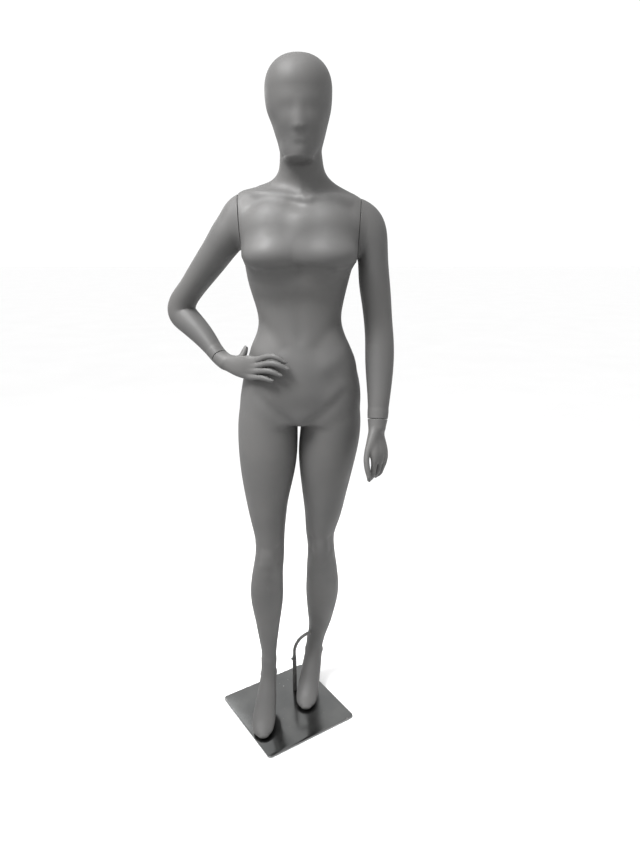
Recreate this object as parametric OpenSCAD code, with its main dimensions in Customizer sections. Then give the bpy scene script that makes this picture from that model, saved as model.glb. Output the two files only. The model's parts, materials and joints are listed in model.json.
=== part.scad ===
// Full body mannequin: hollow fibreglass figure, right hand on the hip, on a square steel base.
// The figure faces -Y. The origin is on the floor under the centre of the base plate.

/* [Base] */
// Side of the square base plate
plate_side = 290; // [270:1:320]
// Thickness of the base plate
plate_thick = 5; // [4:0.5:8]
// Corner radius of the base plate
plate_corner = 12; // [6:1:25]
// Turn of the base plate under the figure, in degrees
plate_turn = 32.8; // [0:0.1:45]
// Thickness of the protective foam sheet under the plate
pad_thick = 1.5; // [1:0.5:3]

/* [Calf rod] */
// Outer diameter of the support tube
tube_d = 12.7; // [12:0.1:14]
// Diameter of the calf rod
rod_d = 9.9; // [9:0.1:9.9]
// Bend radius of the calf rod
rod_bend_r = 52; // [48:1:54]
// Rise of the rod's end above level, in degrees
rod_rise = 15; // [10:1:20]

/* [Shell] */
// Wall thickness of the fibreglass shells
wall = 3.5; // [2.5:0.5:4]
// Gap between two shells at an arm or wrist seam
seam_gap = 0.8; // [0.6:0.1:1.2]

/* [Arm fitting] */
// Diameter of the spindle that an arm turns on
spindle_d = 20; // [18:0.5:20]
// Side of the square tenon that an arm slides onto
tenon = 12; // [10:0.5:12]
// Diameter of the steel plates at the shoulder
arm_plate_d = 56; // [52:1:60]

/* [Wrist fitting] */
// Diameter of the pin that a hand turns on
wrist_pin_d = 12; // [10:0.5:12]
// Side of the square tenon that a hand slides onto
wrist_tenon = 8; // [6:0.5:8]

/* [Hidden] */
$fn = 48;

paint = [0.42, 0.43, 0.42];
steel = [0.55, 0.55, 0.56];
dark_steel = [0.22, 0.22, 0.22];
timber = [0.72, 0.56, 0.36];

cut = 0.05;          // clearance of a fixed piece in its seat
slack = 0.3;         // clearance of a piece that slides off
fit = 0.05;          // radial clearance of a running fit
half_gap = seam_gap / 2;
plate_seat_r = arm_plate_d / 2 + 0.15;   // the hole in a shell that a steel plate fills

// ---- Smooth lofts -------------------------------------------------------------------------
// A station is [x, y, z, nx, ny, nz, hu, hv]: the centre of a section, the way the loft runs,
// and the section's half sizes across and in depth.

function unit(v) = v / norm(v);
function part_of(v, first, count) = [for (i = [first : first + count - 1]) v[i]];
function spin(a) = [cos(a), sin(a)];

// Catmull-Rom curve through b and c, at t between 0 and 1
function through(a, b, c, d, t) =
    b + 0.5 * t * ((c - a) + t * ((2 * a - 5 * b + 4 * c - d) + t * (3 * (b - c) + d - a)));

// Adds (steps - 1) stations between each two of a list
function refine(list, steps) = [
    for (i = [0 : len(list) - 2], k = [0 : steps - 1])
        through(list[max(i - 1, 0)], list[i], list[i + 1],
                list[min(i + 2, len(list) - 1)], k / steps),
    list[len(list) - 1]
];

// One ring of a loft whose sections lie across the way it runs. side is the fixed direction
// that the section's second axis (depth) stays closest to, or its first axis for a leg.
function ring(s, sides, shrink, leg) =
    let (n = unit(part_of(s, 3, 3)),
         u = leg ? unit([-1, 0, 0] + n[0] * n) : unit(cross([0, 1, 0], n)),
         v = cross(n, u))
    [for (i = [0 : sides - 1])
        let (c = spin(360 * i / sides))
        part_of(s, 0, 3) + (s[6] - shrink) * c[0] * u + (s[7] - shrink) * c[1] * v];

function flat_list(rings) = [for (r = rings, p = r) p];

function loft_faces(count, sides) = concat(
    [[for (i = [0 : sides - 1]) i]],
    [for (k = [0 : count - 2], i = [0 : sides - 1])
        [k * sides + i, (k + 1) * sides + i, (k + 1) * sides + (i + 1) % sides]],
    [for (k = [0 : count - 2], i = [0 : sides - 1])
        [k * sides + i, (k + 1) * sides + (i + 1) % sides, k * sides + (i + 1) % sides]],
    [[for (i = [sides - 1 : -1 : 0]) (count - 1) * sides + i]]
);

module loft(rings) {
    polyhedron(points = flat_list(rings), faces = loft_faces(len(rings), len(rings[0])),
               convexity = 6);
}

module limb(stations, sides, shrink = 0, leg = false) {
    loft([for (s = stations) ring(s, sides, shrink, leg)]);
}

// Puts its children at p with +Z turned to the direction n
module facing(p, n) {
    translate(p) rotate([0, acos(n[2] / norm(n)), atan2(n[1], n[0])]) children();
}

// ---- Body sections ------------------------------------------------------------------------
// [z, centre x, half width, front y, back y]

torso_rows = [
    [880, 44, 167, -38, 148], [926, 46, 165, -46, 158], [982, 48, 160, -52, 160],
    [1036, 50, 149, -50, 152], [1090, 50, 132, -43, 143], [1142, 49, 112, -37, 135],
    [1168, 48, 107, -36, 132], [1219, 47, 115, -38, 136], [1270, 45, 129, -42, 141],
    [1315, 47, 140, -46, 146], [1345, 48, 150, -47, 148], [1370, 48, 160, -45, 149],
    [1400, 48, 166, -40, 149], [1430, 49, 165, -31, 148], [1452, 49, 159, -22, 142],
    [1468, 48, 149, -12, 134], [1480, 46, 136, -6, 124], [1491, 49, 112, -2, 114],
    [1502, 53, 84, -2, 104], [1515, 56, 64, -4, 94]
];

// Head rows have the jaw's taper as a sixth value
head_rows = [
    [1515, 56, 64, -4, 94, 0], [1530, 56, 57, -8, 90, 0], [1549, 55, 53.5, -14, 86, 0],
    [1560, 54, 51.5, -42, 88, 0.45], [1576, 54, 53, -52, 94, 0.35], [1603, 53, 59, -57, 108, 0.2],
    [1630, 52, 67, -58, 118, 0.1], [1656, 50, 76, -58, 125, 0.05], [1694, 49, 80, -55, 128, 0],
    [1716, 48, 80, -49, 126, 0], [1738, 48, 75, -38, 118, 0], [1754, 49, 65, -25, 106, 0],
    [1767, 50, 48, -7, 88, 0], [1777, 50, 26, 14, 66, 0], [1780, 50, 8, 30, 50, 0]
];

breast_x = 68;
breast_z = 1352;
breast_r = 50;
breast_out = 44;
seat_x = 74;
seat_z = 968;
seat_r = 62;
seat_out = 20;
body_x = 48;

inner_bumps = 0.85;

function bell(dx, dz, r) = exp(-(dx * dx + dz * dz) / (r * r));
function breast(x, z) =
    breast_out * max([for (k = [-1, 1]) bell(x - body_x - k * breast_x,
        (z - breast_z) * (z < breast_z ? 1.25 : 0.75), breast_r)]);
function seat(x, z) =
    seat_out * max([for (k = [-1, 1]) bell(x - body_x - k * seat_x, z - seat_z, seat_r)]);

// bumps scales the breasts and seat, and is 0 for the head
function body_ring(s, sides, shrink, bumps) =
    let (yc = (s[3] + s[4]) / 2, hy = (s[4] - s[3]) / 2 - shrink, taper = len(s) > 5 ? s[5] : 0)
    [for (i = [0 : sides - 1])
        let (c = spin(360 * i / sides), front = max(-c[1], 0),
             x = s[1] + (s[2] - shrink) * c[0] * (1 - taper * front),
             y = yc + hy * c[1])
        [x, y - bumps * (front * breast(x, s[0]) - max(c[1], 0) * seat(x, s[0])), s[0]]];

// ---- Legs ---------------------------------------------------------------------------------
// The foot carries on from the ankle and turns forward, down to the rounded toe.

right_leg = [
    [-42, 47, 880, 0, 0, -1, 84, 88], [-42, 42, 820, 0, 0, -1, 80, 85],
    [-45, 38, 752, 0, 0, -1, 73, 80], [-47, 33, 682, 0, 0, -1, 60, 71],
    [-44, 28, 612, 0, 0, -1, 48, 62], [-41, 25, 560, 0, 0, -1, 41, 56],
    [-44, 21, 503, 0, 0, -1, 41, 54], [-51, 22, 455, 0, 0, -1, 43.5, 52],
    [-54, 26, 405, 0, 0, -1, 47, 54], [-55, 28, 355, 0, 0, -1, 46.5, 52],
    [-54, 23, 300, 0, 0.06, -1, 37, 44], [-53, 15, 240, 0, 0.06, -1, 28, 35],
    [-53, 8, 190, 0, -0.02, -1, 22, 30], [-55, 6, 160, 0, -0.25, -1, 21.5, 33],
    [-57, 2, 128, 0, -0.6, -1, 25, 42], [-59, -12, 96, 0, -0.9, -0.9, 28, 44],
    [-61, -38, 66, 0, -1, -0.75, 30, 33], [-64, -66, 42, 0, -1, -0.62, 32, 24],
    [-66, -92, 26, 0, -1, -0.3, 33, 17.5], [-65, -114, 20, 0, -1, -0.08, 29.5, 12.8],
    [-63, -130, 18, 0, -1, 0, 20, 9.5], [-62, -138, 17.5, 0, -1, 0, 7, 5]
];
left_leg = [
    [128.5, 53, 880, 0, 0, -1, 84, 88], [122, 56, 820, 0, 0, -1, 81, 85],
    [116, 60, 752, 0, 0, -1, 73, 80], [112, 64, 682, 0, 0, -1, 61, 71],
    [107, 66, 612, 0, 0, -1, 50, 62], [100.5, 69, 560, 0, 0, -1, 41, 56],
    [103, 71, 503, 0, 0, -1, 38, 54], [105.5, 77, 455, 0, 0.1, -1, 43, 52],
    [107, 83, 405, 0, 0.1, -1, 47, 54], [107, 89, 355, 0, 0.12, -1, 48.5, 52],
    [104, 97, 300, 0, 0.15, -1, 43, 45], [100, 106, 245, 0, 0.15, -1, 35, 37],
    [91, 114, 190, 0, 0.08, -1, 28.5, 31], [84, 119, 155, 0, -0.2, -1, 26, 32],
    [79, 117, 124, 0, -0.6, -1, 27, 42], [74, 103, 94, 0, -0.9, -0.9, 28.5, 44],
    [68, 77, 66, 0, -1, -0.75, 30, 33], [62, 48, 42, 0, -1, -0.62, 32, 24],
    [57, 21, 26, 0, -1, -0.3, 33, 17.5], [55, -1, 20, 0, -1, -0.08, 29.5, 12.8],
    [56, -17, 18, 0, -1, 0, 20, 9.5], [57, -25, 17.5, 0, -1, 0, 7, 5]
];
cavity_end = 13;     // the foot below this station is solid

// ---- Arms ---------------------------------------------------------------------------------

right_seam = [-98, 50, 1413];
right_out = [-0.998, 0, -0.064];
left_seam = [195, 50, 1397];
left_out = [0.996, 0, -0.085];

right_wrist = [-163, 48, 1071];
right_fore = unit([0.6, -0.58, -0.55]);
left_wrist = [250, -12, 917];
left_fore = unit([-0.04, -0.3, -0.95]);

right_arm = [
    [-118, 50, 1396, -0.88, 0, -0.47, 53, 47], [-131, 53, 1379, -0.66, 0.15, -0.74, 46, 45],
    [-150, 61, 1353, -0.6, 0.28, -0.75, 42, 43], [-176, 74, 1321, -0.6, 0.32, -0.73, 39.5, 40],
    [-216, 96, 1273, -0.6, 0.32, -0.73, 36, 37], [-248, 114, 1234, -0.58, 0.3, -0.76, 34, 36],
    [-266, 123, 1205, -0.3, 0.1, -0.95, 36, 36], [-270, 124, 1182, 0.25, -0.2, -0.95, 38, 36],
    [-256, 114, 1163, 0.62, -0.42, -0.66, 35, 36], [-228, 95, 1136, 0.68, -0.46, -0.57, 30, 34],
    [-196, 72, 1104, 0.68, -0.46, -0.57, 25, 30]
];
left_arm = [
    [221, 50, 1380, 0.86, 0, -0.5, 62, 48], [229, 51, 1349, 0.5, 0, -0.87, 46, 46],
    [233, 52, 1322, 0.1, 0.02, -0.99, 39.5, 44], [240, 54, 1269, 0.1, 0.04, -0.99, 40, 42],
    [246, 57, 1218, 0.12, 0.05, -0.99, 39, 39], [252, 58, 1166, 0.1, -0.08, -0.99, 37, 37],
    [256, 49, 1115, 0.03, -0.22, -0.97, 37.5, 38], [256, 34, 1065, 0, -0.3, -0.95, 37.5, 38],
    [255, 18, 1015, -0.03, -0.3, -0.95, 34, 35], [253, 2, 965, -0.04, -0.3, -0.95, 29, 31]
];

function whole_arm(seam, out, mid, wrist, fore, hu0, hv0, hu1, hv1) = concat(
    [concat(seam + half_gap * out, out, [hu0, hv0])],
    mid,
    [concat(wrist - half_gap * fore, fore, [hu1, hv1])]
);
right_stations = whole_arm(right_seam, right_out, right_arm, right_wrist, right_fore,
                           62, 47, 20.5, 26);
left_stations = whole_arm(left_seam, left_out, left_arm, left_wrist, left_fore,
                          69, 48, 24.5, 26);

// ---- Fittings -----------------------------------------------------------------------------
// Each fitting is drawn round the origin with +Z from the fixed shell to the one that turns.

socket_len = 34;
groove_at = -36.4;
groove_w = 1.2;

module disc(r, z0, z1) {
    translate([0, 0, z0]) cylinder(h = z1 - z0, r = r);
}

module screw_set(radius, count, z, dir) {
    for (k = [0 : count - 1])
        rotate([0, 0, 360 * k / count + 45]) translate([radius, 0, z]) rotate([dir, 0, 0])
            children();
}

// Countersunk wood screw with its head face at z = 0 and its shank below
module wood_screw(r, length, grow = 0) {
    translate([0, 0, -2.2]) cylinder(h = 2.2, r1 = r + grow, r2 = 2 * r + grow);
    translate([0, 0, -length]) cylinder(h = length - 2.2 + 0.01, r = r + grow);
}

module shoulder_socket_block() {
    difference() {
        disc(33, -half_gap - wall - 22, -half_gap - wall - cut);
        disc(14 + cut, -60, 0);
        screw_set(22, 4, -half_gap, 0) wood_screw(2, 18, cut);
    }
}

module shoulder_socket_plate() {
    difference() {
        union() {
            disc(arm_plate_d / 2 - cut, -half_gap - wall, -half_gap);
            disc(14, -half_gap - socket_len, -half_gap);
        }
        disc(spindle_d / 2 + fit, -60, 1);
        screw_set(22, 4, -half_gap, 0) wood_screw(2, 18, cut);
    }
}

module shoulder_socket_screws() {
    screw_set(22, 4, -half_gap, 0) wood_screw(2, 18);
}

module shoulder_spindle() {
    difference() {
        union() {
            disc(spindle_d / 2, groove_at - 3, 0);
            disc(17, -half_gap + slack, 2.2);
            translate([-tenon / 2, -tenon / 2, 2.2]) cube([tenon, tenon, 18]);
        }
        difference() {
            disc(spindle_d, groove_at, groove_at + groove_w);
            disc(spindle_d / 2 - 1.5, groove_at - 1, groove_at + groove_w + 1);
        }
    }
}

module shoulder_clip() {
    difference() {
        disc(13.5, groove_at + 0.1, groove_at + groove_w - 0.1);
        disc(spindle_d / 2 - 1.4, groove_at - 1, groove_at + 2);
        translate([-2, 0, groove_at - 1]) cube([4, 20, 3]);
    }
}

module shoulder_arm_plate() {
    difference() {
        disc(arm_plate_d / 2 - cut, half_gap, half_gap + 5);
        disc(17.5, 0, 2.2 + slack);
        translate([-tenon / 2 - slack, -tenon / 2 - slack, 0])
            cube([tenon + 2 * slack, tenon + 2 * slack, 10]);
        screw_set(22, 4, half_gap, 180) wood_screw(2, 16, cut);
    }
}

module shoulder_arm_block() {
    difference() {
        disc(34, half_gap + 5 + cut, half_gap + 20);
        disc(9.2, 0, 40);
        screw_set(22, 4, half_gap, 180) wood_screw(2, 16, cut);
    }
}

module shoulder_arm_screws() {
    screw_set(22, 4, half_gap, 180) wood_screw(2, 16);
}

module wrist_plug() {
    difference() {
        disc(15, -half_gap - 26, -half_gap - wall - cut);
        disc(8.5 + cut, -60, 0);
    }
}

module wrist_bush() {
    difference() {
        union() {
            disc(12, -half_gap - wall, -half_gap);
            disc(8.5, -half_gap - 24, -half_gap);
        }
        disc(wrist_pin_d / 2 + fit, -60, 1);
    }
}

wrist_groove = -26.6;

module wrist_pin() {
    difference() {
        union() {
            disc(wrist_pin_d / 2, wrist_groove - 2, 0);
            disc(9, -half_gap + slack, 1.4);
            translate([-wrist_tenon / 2, -wrist_tenon / 2, 1.4])
                cube([wrist_tenon, wrist_tenon, 10]);
        }
        difference() {
            disc(wrist_pin_d, wrist_groove, wrist_groove + 1);
            disc(wrist_pin_d / 2 - 1, wrist_groove - 1, wrist_groove + 2);
        }
    }
}

module wrist_clip() {
    difference() {
        disc(8.2, wrist_groove + 0.1, wrist_groove + 0.9);
        disc(wrist_pin_d / 2 - 0.9, wrist_groove - 1, wrist_groove + 2);
        translate([-1.5, 0, wrist_groove - 1]) cube([3, 12, 3]);
    }
}

module hand_socket() {
    difference() {
        disc(11, half_gap, half_gap + 14);
        disc(9.4, 0, 1.4 + slack);
        translate([-wrist_tenon / 2 - slack, -wrist_tenon / 2 - slack, 0])
            cube([wrist_tenon + 2 * slack, wrist_tenon + 2 * slack, 11.4 + slack]);
    }
}

// ---- Hands --------------------------------------------------------------------------------
// A finger is a list of [x, y, z, radius] from inside the palm to the tip.

function way(path, i) =
    unit(part_of(path[min(i + 1, len(path) - 1)], 0, 3) - part_of(path[max(i - 1, 0)], 0, 3));

module finger(path, sides = 8) {
    limb([for (i = [0 : len(path) - 1])
        concat(part_of(path[i], 0, 3), way(path, i), [path[i][3], path[i][3]])], sides);
}

right_digits = [
    [[-92, -4, 1070, 9], [-60, -35, 1078, 9.5], [-36, -55, 1090, 8], [-18, -64, 1093, 7.2],
     [2, -68, 1086, 6.5], [13, -68, 1077, 5], [16, -68, 1074, 2.5]],
    [[-92, -5, 1061, 9], [-60, -37, 1064, 9.5], [-36, -58, 1074, 8], [-18, -68, 1076, 7.2],
     [5, -72, 1069, 6.5], [19, -72, 1061, 5], [22, -72, 1058, 2.5]],
    [[-96, -3, 1051, 9], [-66, -35, 1050, 9.5], [-45, -55, 1056, 8], [-28, -64, 1056, 7],
     [-10, -68, 1051, 6.3], [0, -69, 1045, 5], [3, -69, 1043, 2.5]],
    [[-102, 2, 1041, 8], [-77, -26, 1034, 8.5], [-59, -45, 1037, 7.2], [-45, -55, 1037, 6.3],
     [-31, -61, 1034, 5.8], [-22, -63, 1030, 4.5], [-19, -63, 1028, 2.3]],
    [[-118, 14, 1058, 10.5], [-104, 17, 1072, 9.6], [-97, 24, 1085, 8.2],
     [-93, 31, 1094, 7], [-90, 34, 1099, 5], [-89, 35, 1102, 2.5]]
];
right_palm = [
    [-149, 37, 1063, 0.75, -0.62, -0.15, 21, 22.5], [-130, 21, 1058, 0.74, -0.67, -0.08, 24, 18],
    [-108, 1, 1055, 0.76, -0.65, 0, 28, 15], [-86, -18, 1056, 0.77, -0.64, 0.02, 31, 12.5],
    [-66, -34, 1058, 0.77, -0.64, 0.02, 30, 10], [-59, -40, 1058, 0.77, -0.64, 0.02, 24, 6]
];
left_digits = [
    [[238, -50, 862, 9], [238, -61, 828, 9.5], [238, -70, 804, 8], [235, -73, 785, 7.2],
     [229, -70, 770, 6.3], [226, -67, 764, 4.5]],
    [[248, -38, 860, 9], [251, -48, 826, 9.5], [252, -57, 802, 8], [247, -60, 785, 7.2],
     [240, -58, 774, 6.3], [237, -56, 770, 4.5]],
    [[256, -24, 860, 9], [261, -34, 822, 9.5], [262, -42, 797, 8], [257, -44, 780, 7.2],
     [249, -42, 769, 6.3], [246, -40, 766, 4.5]],
    [[262, -12, 862, 8], [269, -19, 823, 8.5], [269, -26, 802, 7.2], [264, -29, 787, 6.3],
     [258, -29, 777, 5.6], [255, -28, 774, 4]],
    [[241, -32, 888, 11], [229, -50, 866, 10.5], [221, -62, 846, 8.8], [217, -72, 826, 7.8],
     [219, -80, 805, 7.5], [222, -84, 789, 6.4], [225, -86, 780, 4.5], [226, -86, 777, 2.3]]
];
left_palm = [
    [248.5, -16, 902, -0.02, -0.3, -0.95, 20.5, 26], [247, -22, 884, 0, -0.28, -0.96, 17.5, 27],
    [247, -30, 860, 0.04, -0.25, -0.97, 15.5, 34], [249, -37, 839, 0.06, -0.2, -0.98, 13.5, 36.5],
    [250, -40, 828, 0.06, -0.15, -0.99, 8, 32]
];
left_palm_turn = 38;   // turn of the left palm about the wrist, towards the front

// The palm is a loft from the wrist seam, with a finger on each path in digits
module hand(wrist, fore, hu, hv, palm, digits, turn = 0) {
    start = concat(wrist + half_gap * fore, fore, [hu, hv]);
    difference() {
        union() {
            translate(wrist) rotate(a = turn, v = fore) translate(-wrist)
                limb(refine(concat([start], palm), 2), 18);
            for (d = digits) finger(d);
        }
        facing(wrist, fore) disc(11 + cut, 0, half_gap + 14 + cut);
    }
}

// ---- Base and rod -------------------------------------------------------------------------

plate_top = pad_thick + plate_thick;
rod_foot = [21, 74];
rod_way = 27;        // compass turn of the rod's end from +X
tube_top = 128;
lock_z = 122;
bend_z = 144;
rod_arc = 90 - rod_rise;
rod_end_len = 46;
rod_low = 88;
rod_in_leg = 14;     // straight length outside the leg, past the bend
sleeve_len = 34;

// The rod lies in a vertical plane; +X there is the way it leans
module in_rod_plane() {
    translate([rod_foot[0], rod_foot[1], 0]) rotate([0, 0, rod_way]) children();
}

// Puts its children where the rod's end starts, with +Z along the end
module at_rod_end() {
    in_rod_plane()
        translate([rod_bend_r * (1 - cos(rod_arc)), 0, bend_z + rod_bend_r * sin(rod_arc)])
            rotate([0, rod_arc, 0]) children();
}

module slab(side, corner, z0, height) {
    inner = side - 2 * corner;
    translate([0, 0, z0]) rotate([0, 0, plate_turn]) {
        translate([-side / 2, -inner / 2, 0]) cube([side, inner, height]);
        translate([-inner / 2, -side / 2, 0]) cube([inner, side, height]);
        for (x = [-1, 1], y = [-1, 1])
            translate([x * inner / 2, y * inner / 2, 0]) cylinder(h = height, r = corner);
    }
}

bolt_head_r = 9;
bolt_r = 3.9;
bolt_low = pad_thick + slack;

module bolt_shape(grow) {
    translate([rod_foot[0], rod_foot[1], 0]) {
        translate([0, 0, bolt_low + grow])
            cylinder(h = 4, r1 = bolt_head_r + grow, r2 = bolt_r + grow);
        translate([0, 0, bolt_low]) cylinder(h = 22, r = bolt_r + grow);
        if (grow > 0)
            translate([0, 0, pad_thick - 1]) cylinder(h = 1 + slack + grow, r = bolt_head_r + grow);
    }
}

module base_pad() {
    color([0.1, 0.1, 0.1]) slab(plate_side - 6, plate_corner - 3, 0, pad_thick);
}

module base_plate() {
    color(steel) difference() {
        slab(plate_side, plate_corner, pad_thick, plate_thick);
        bolt_shape(0.2);
    }
}

module plate_bolt() {
    color(dark_steel) bolt_shape(0);
}

module support_tube() {
    color(dark_steel) difference() {
        translate([rod_foot[0], rod_foot[1], plate_top + slack])
            cylinder(h = tube_top - plate_top, d = tube_d);
        translate([rod_foot[0], rod_foot[1], 0]) cylinder(h = 200, r = rod_d / 2 + fit);
        in_rod_plane() translate([0, 0, lock_z]) rotate([0, -90, 0]) cylinder(h = 20, r = 2.45);
    }
}

module tube_plug() {
    color(steel) translate([rod_foot[0], rod_foot[1], plate_top + slack]) difference() {
        cylinder(h = 26, r = rod_d / 2 + fit);
        translate([0, 0, -1]) cylinder(h = 20, r = bolt_r + fit);
    }
}

module lock_screw() {
    color(dark_steel) in_rod_plane() translate([0, 0, lock_z]) rotate([0, -90, 0]) difference() {
        union() {
            translate([0, 0, rod_d / 2 + 0.1]) cylinder(h = 4, r = 2.4);
            translate([0, 0, tube_d / 2 + slack]) cylinder(h = 3.4, r = 3.2);
        }
        translate([0, 0, tube_d / 2 + 1.8]) cylinder(h = 5, r = 1.5, $fn = 6);
    }
}

module calf_rod() {
    color(dark_steel) {
        translate([rod_foot[0], rod_foot[1], rod_low]) cylinder(h = bend_z - rod_low, d = rod_d);
        in_rod_plane() translate([rod_bend_r, 0, bend_z]) rotate([90, 0, 0])
            rotate([0, 0, 180 - rod_arc]) rotate_extrude(angle = rod_arc)
                translate([rod_bend_r, 0]) circle(d = rod_d);
        at_rod_end() cylinder(h = rod_end_len, d = rod_d);
    }
}

module sleeve_space() {
    at_rod_end() cylinder(h = rod_in_leg + sleeve_len + 1, r = 7 + cut);
}

module calf_sleeve() {
    color(steel) at_rod_end() translate([0, 0, rod_in_leg]) difference() {
        cylinder(h = sleeve_len + 1, r = 7);
        translate([0, 0, -1]) cylinder(h = sleeve_len + 2 - slack, r = rod_d / 2 + fit);
    }
}

// ---- Shell modules ------------------------------------------------------------------------

leg_sides = 24;
inner_sides = 18;

function lowered(s, dz) = [for (i = [0 : len(s) - 1]) i == 2 ? s[2] - dz : s[i]];
function cavity_of(stations) = concat(
    [lowered(stations[0], wall)], [for (i = [1 : cavity_end]) stations[i]]
);

module leg_shell(stations) {
    difference() {
        limb(refine(stations, 2), leg_sides, 0, true);
        limb(cavity_of(stations), inner_sides, wall, true);
    }
}

module right_leg_shell() {
    color(paint) leg_shell(right_leg);
}

module left_leg_shell() {
    color(paint) difference() {
        leg_shell(left_leg);
        sleeve_space();
    }
}

module calf_block() {
    color(timber) difference() {
        intersection() {
            limb(cavity_of(left_leg), inner_sides, wall + 0.4, true);
            translate([0, 0, 166]) cube([300, 300, 74]);
        }
        sleeve_space();
    }
}

module head_shell() {
    sides = 28;
    color(paint) difference() {
        loft([for (s = refine(head_rows, 2)) body_ring(s, sides, 0, 0)]);
        loft([for (i = [0 : len(head_rows) - 3])
            body_ring(head_rows[i] + [i == 0 ? -1 : 0, 0, 0, 0, 0, 0], inner_sides, wall, 0)]);
    }
}

// Everything beyond a seam plane, on the side that its arm is on
module beyond(seam, out, back) {
    facing(seam - back * out, out) translate([-200, -200, 0]) cube([400, 400, 200]);
}

module torso_shell() {
    sides = 36;
    floor_row = torso_rows[0];
    color(paint) difference() {
        loft([for (s = refine(torso_rows, 2)) body_ring(s, sides, 0, 1)]);
        beyond(right_seam, right_out, half_gap);
        beyond(left_seam, left_out, half_gap);
        difference() {
            loft([for (i = [0 : len(torso_rows) - 1])
                body_ring(torso_rows[i] + [i == 0 ? wall : (i == len(torso_rows) - 1 ? 1 : 0),
                                           0, 0, 0, 0], inner_sides * 2, wall + 0.5, inner_bumps)]);
            beyond(right_seam, right_out, half_gap + wall);
            beyond(left_seam, left_out, half_gap + wall);
        }
        facing(right_seam, right_out) disc(plate_seat_r, -20, 5);
        facing(left_seam, left_out) disc(plate_seat_r, -20, 5);
    }
}

function shortened(stations, a, b) =
    let (m = len(stations) - 1, s = stations[0], e = stations[m],
         n0 = part_of(s, 3, 3), n1 = part_of(e, 3, 3))
    concat([concat(part_of(s, 0, 3) + a * n0, n0, part_of(s, 6, 2))],
           [for (i = [1 : m - 1]) stations[i]],
           [concat(part_of(e, 0, 3) - b * n1, n1, part_of(e, 6, 2))]);

module arm_shell(stations, seam, out, wrist, fore) {
    difference() {
        limb(refine(stations, 2), leg_sides);
        facing(seam + half_gap * out, -out) translate([-90, -90, 0]) cube([180, 180, 60]);
        limb(shortened(stations, wall, wall), inner_sides, wall);
        facing(seam, out) disc(plate_seat_r, 0, 16);
        facing(wrist, fore) disc(12 + cut, -half_gap - wall - 1, 1);
    }
}

module right_arm_shell() {
    color(paint) arm_shell(right_stations, right_seam, right_out, right_wrist, right_fore);
}

module left_arm_shell() {
    color(paint) arm_shell(left_stations, left_seam, left_out, left_wrist, left_fore);
}

module right_hand() {
    color(paint) hand(right_wrist, right_fore, 20.5, 26, right_palm, right_digits);
}

module left_hand() {
    color(paint) hand(left_wrist, left_fore, 24.5, 26, left_palm, left_digits, left_palm_turn);
}

base_pad();
base_plate();
plate_bolt();
support_tube();
tube_plug();
lock_screw();
calf_rod();
calf_sleeve();
calf_block();
head_shell();
torso_shell();
right_leg_shell();
left_leg_shell();
right_arm_shell();
left_arm_shell();
right_hand();
left_hand();

module at_right_shoulder() { facing(right_seam, right_out) children(); }
module at_left_shoulder() { facing(left_seam, left_out) children(); }
module at_right_wrist() { facing(right_wrist, right_fore) children(); }
module at_left_wrist() { facing(left_wrist, left_fore) children(); }

module right_socket_block() { color(timber) at_right_shoulder() shoulder_socket_block(); }
module right_socket_plate() { color(steel) at_right_shoulder() shoulder_socket_plate(); }
module right_socket_screws() { color(steel) at_right_shoulder() shoulder_socket_screws(); }
module right_spindle() { color(steel) at_right_shoulder() shoulder_spindle(); }
module right_spindle_clip() { color(steel) at_right_shoulder() shoulder_clip(); }
module right_arm_plate() { color(steel) at_right_shoulder() shoulder_arm_plate(); }
module right_arm_block() { color(timber) at_right_shoulder() shoulder_arm_block(); }
module right_arm_screws() { color(steel) at_right_shoulder() shoulder_arm_screws(); }
module left_socket_block() { color(timber) at_left_shoulder() shoulder_socket_block(); }
module left_socket_plate() { color(steel) at_left_shoulder() shoulder_socket_plate(); }
module left_socket_screws() { color(steel) at_left_shoulder() shoulder_socket_screws(); }
module left_spindle() { color(steel) at_left_shoulder() shoulder_spindle(); }
module left_spindle_clip() { color(steel) at_left_shoulder() shoulder_clip(); }
module left_arm_plate() { color(steel) at_left_shoulder() shoulder_arm_plate(); }
module left_arm_block() { color(timber) at_left_shoulder() shoulder_arm_block(); }
module left_arm_screws() { color(steel) at_left_shoulder() shoulder_arm_screws(); }
module right_wrist_plug() { color(timber) at_right_wrist() wrist_plug(); }
module right_wrist_bush() { color(steel) at_right_wrist() wrist_bush(); }
module right_wrist_pin() { color(steel) at_right_wrist() wrist_pin(); }
module right_wrist_clip() { color(steel) at_right_wrist() wrist_clip(); }
module right_hand_socket() { color(steel) at_right_wrist() hand_socket(); }
module left_wrist_plug() { color(timber) at_left_wrist() wrist_plug(); }
module left_wrist_bush() { color(steel) at_left_wrist() wrist_bush(); }
module left_wrist_pin() { color(steel) at_left_wrist() wrist_pin(); }
module left_wrist_clip() { color(steel) at_left_wrist() wrist_clip(); }
module left_hand_socket() { color(steel) at_left_wrist() hand_socket(); }

right_socket_block();
right_socket_plate();
right_socket_screws();
right_spindle();
right_spindle_clip();
right_arm_plate();
right_arm_block();
right_arm_screws();
left_socket_block();
left_socket_plate();
left_socket_screws();
left_spindle();
left_spindle_clip();
left_arm_plate();
left_arm_block();
left_arm_screws();
right_wrist_plug();
right_wrist_bush();
right_wrist_pin();
right_wrist_clip();
right_hand_socket();
left_wrist_plug();
left_wrist_bush();
left_wrist_pin();
left_wrist_clip();
left_hand_socket();
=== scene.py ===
"""Looks of a full body mannequin: a painted hollow figure on a polished steel base.

The figure is sculpted as a smooth field (negative inside, in millimetres), turned into quads,
settled onto the field's exact surface and cut where its shells meet. Everything else keeps its
CAD shape and gets a better material.
"""
import json
import math

import bmesh
import bpy
import numpy as np
import openvdb
from mathutils import Matrix, Vector


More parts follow.
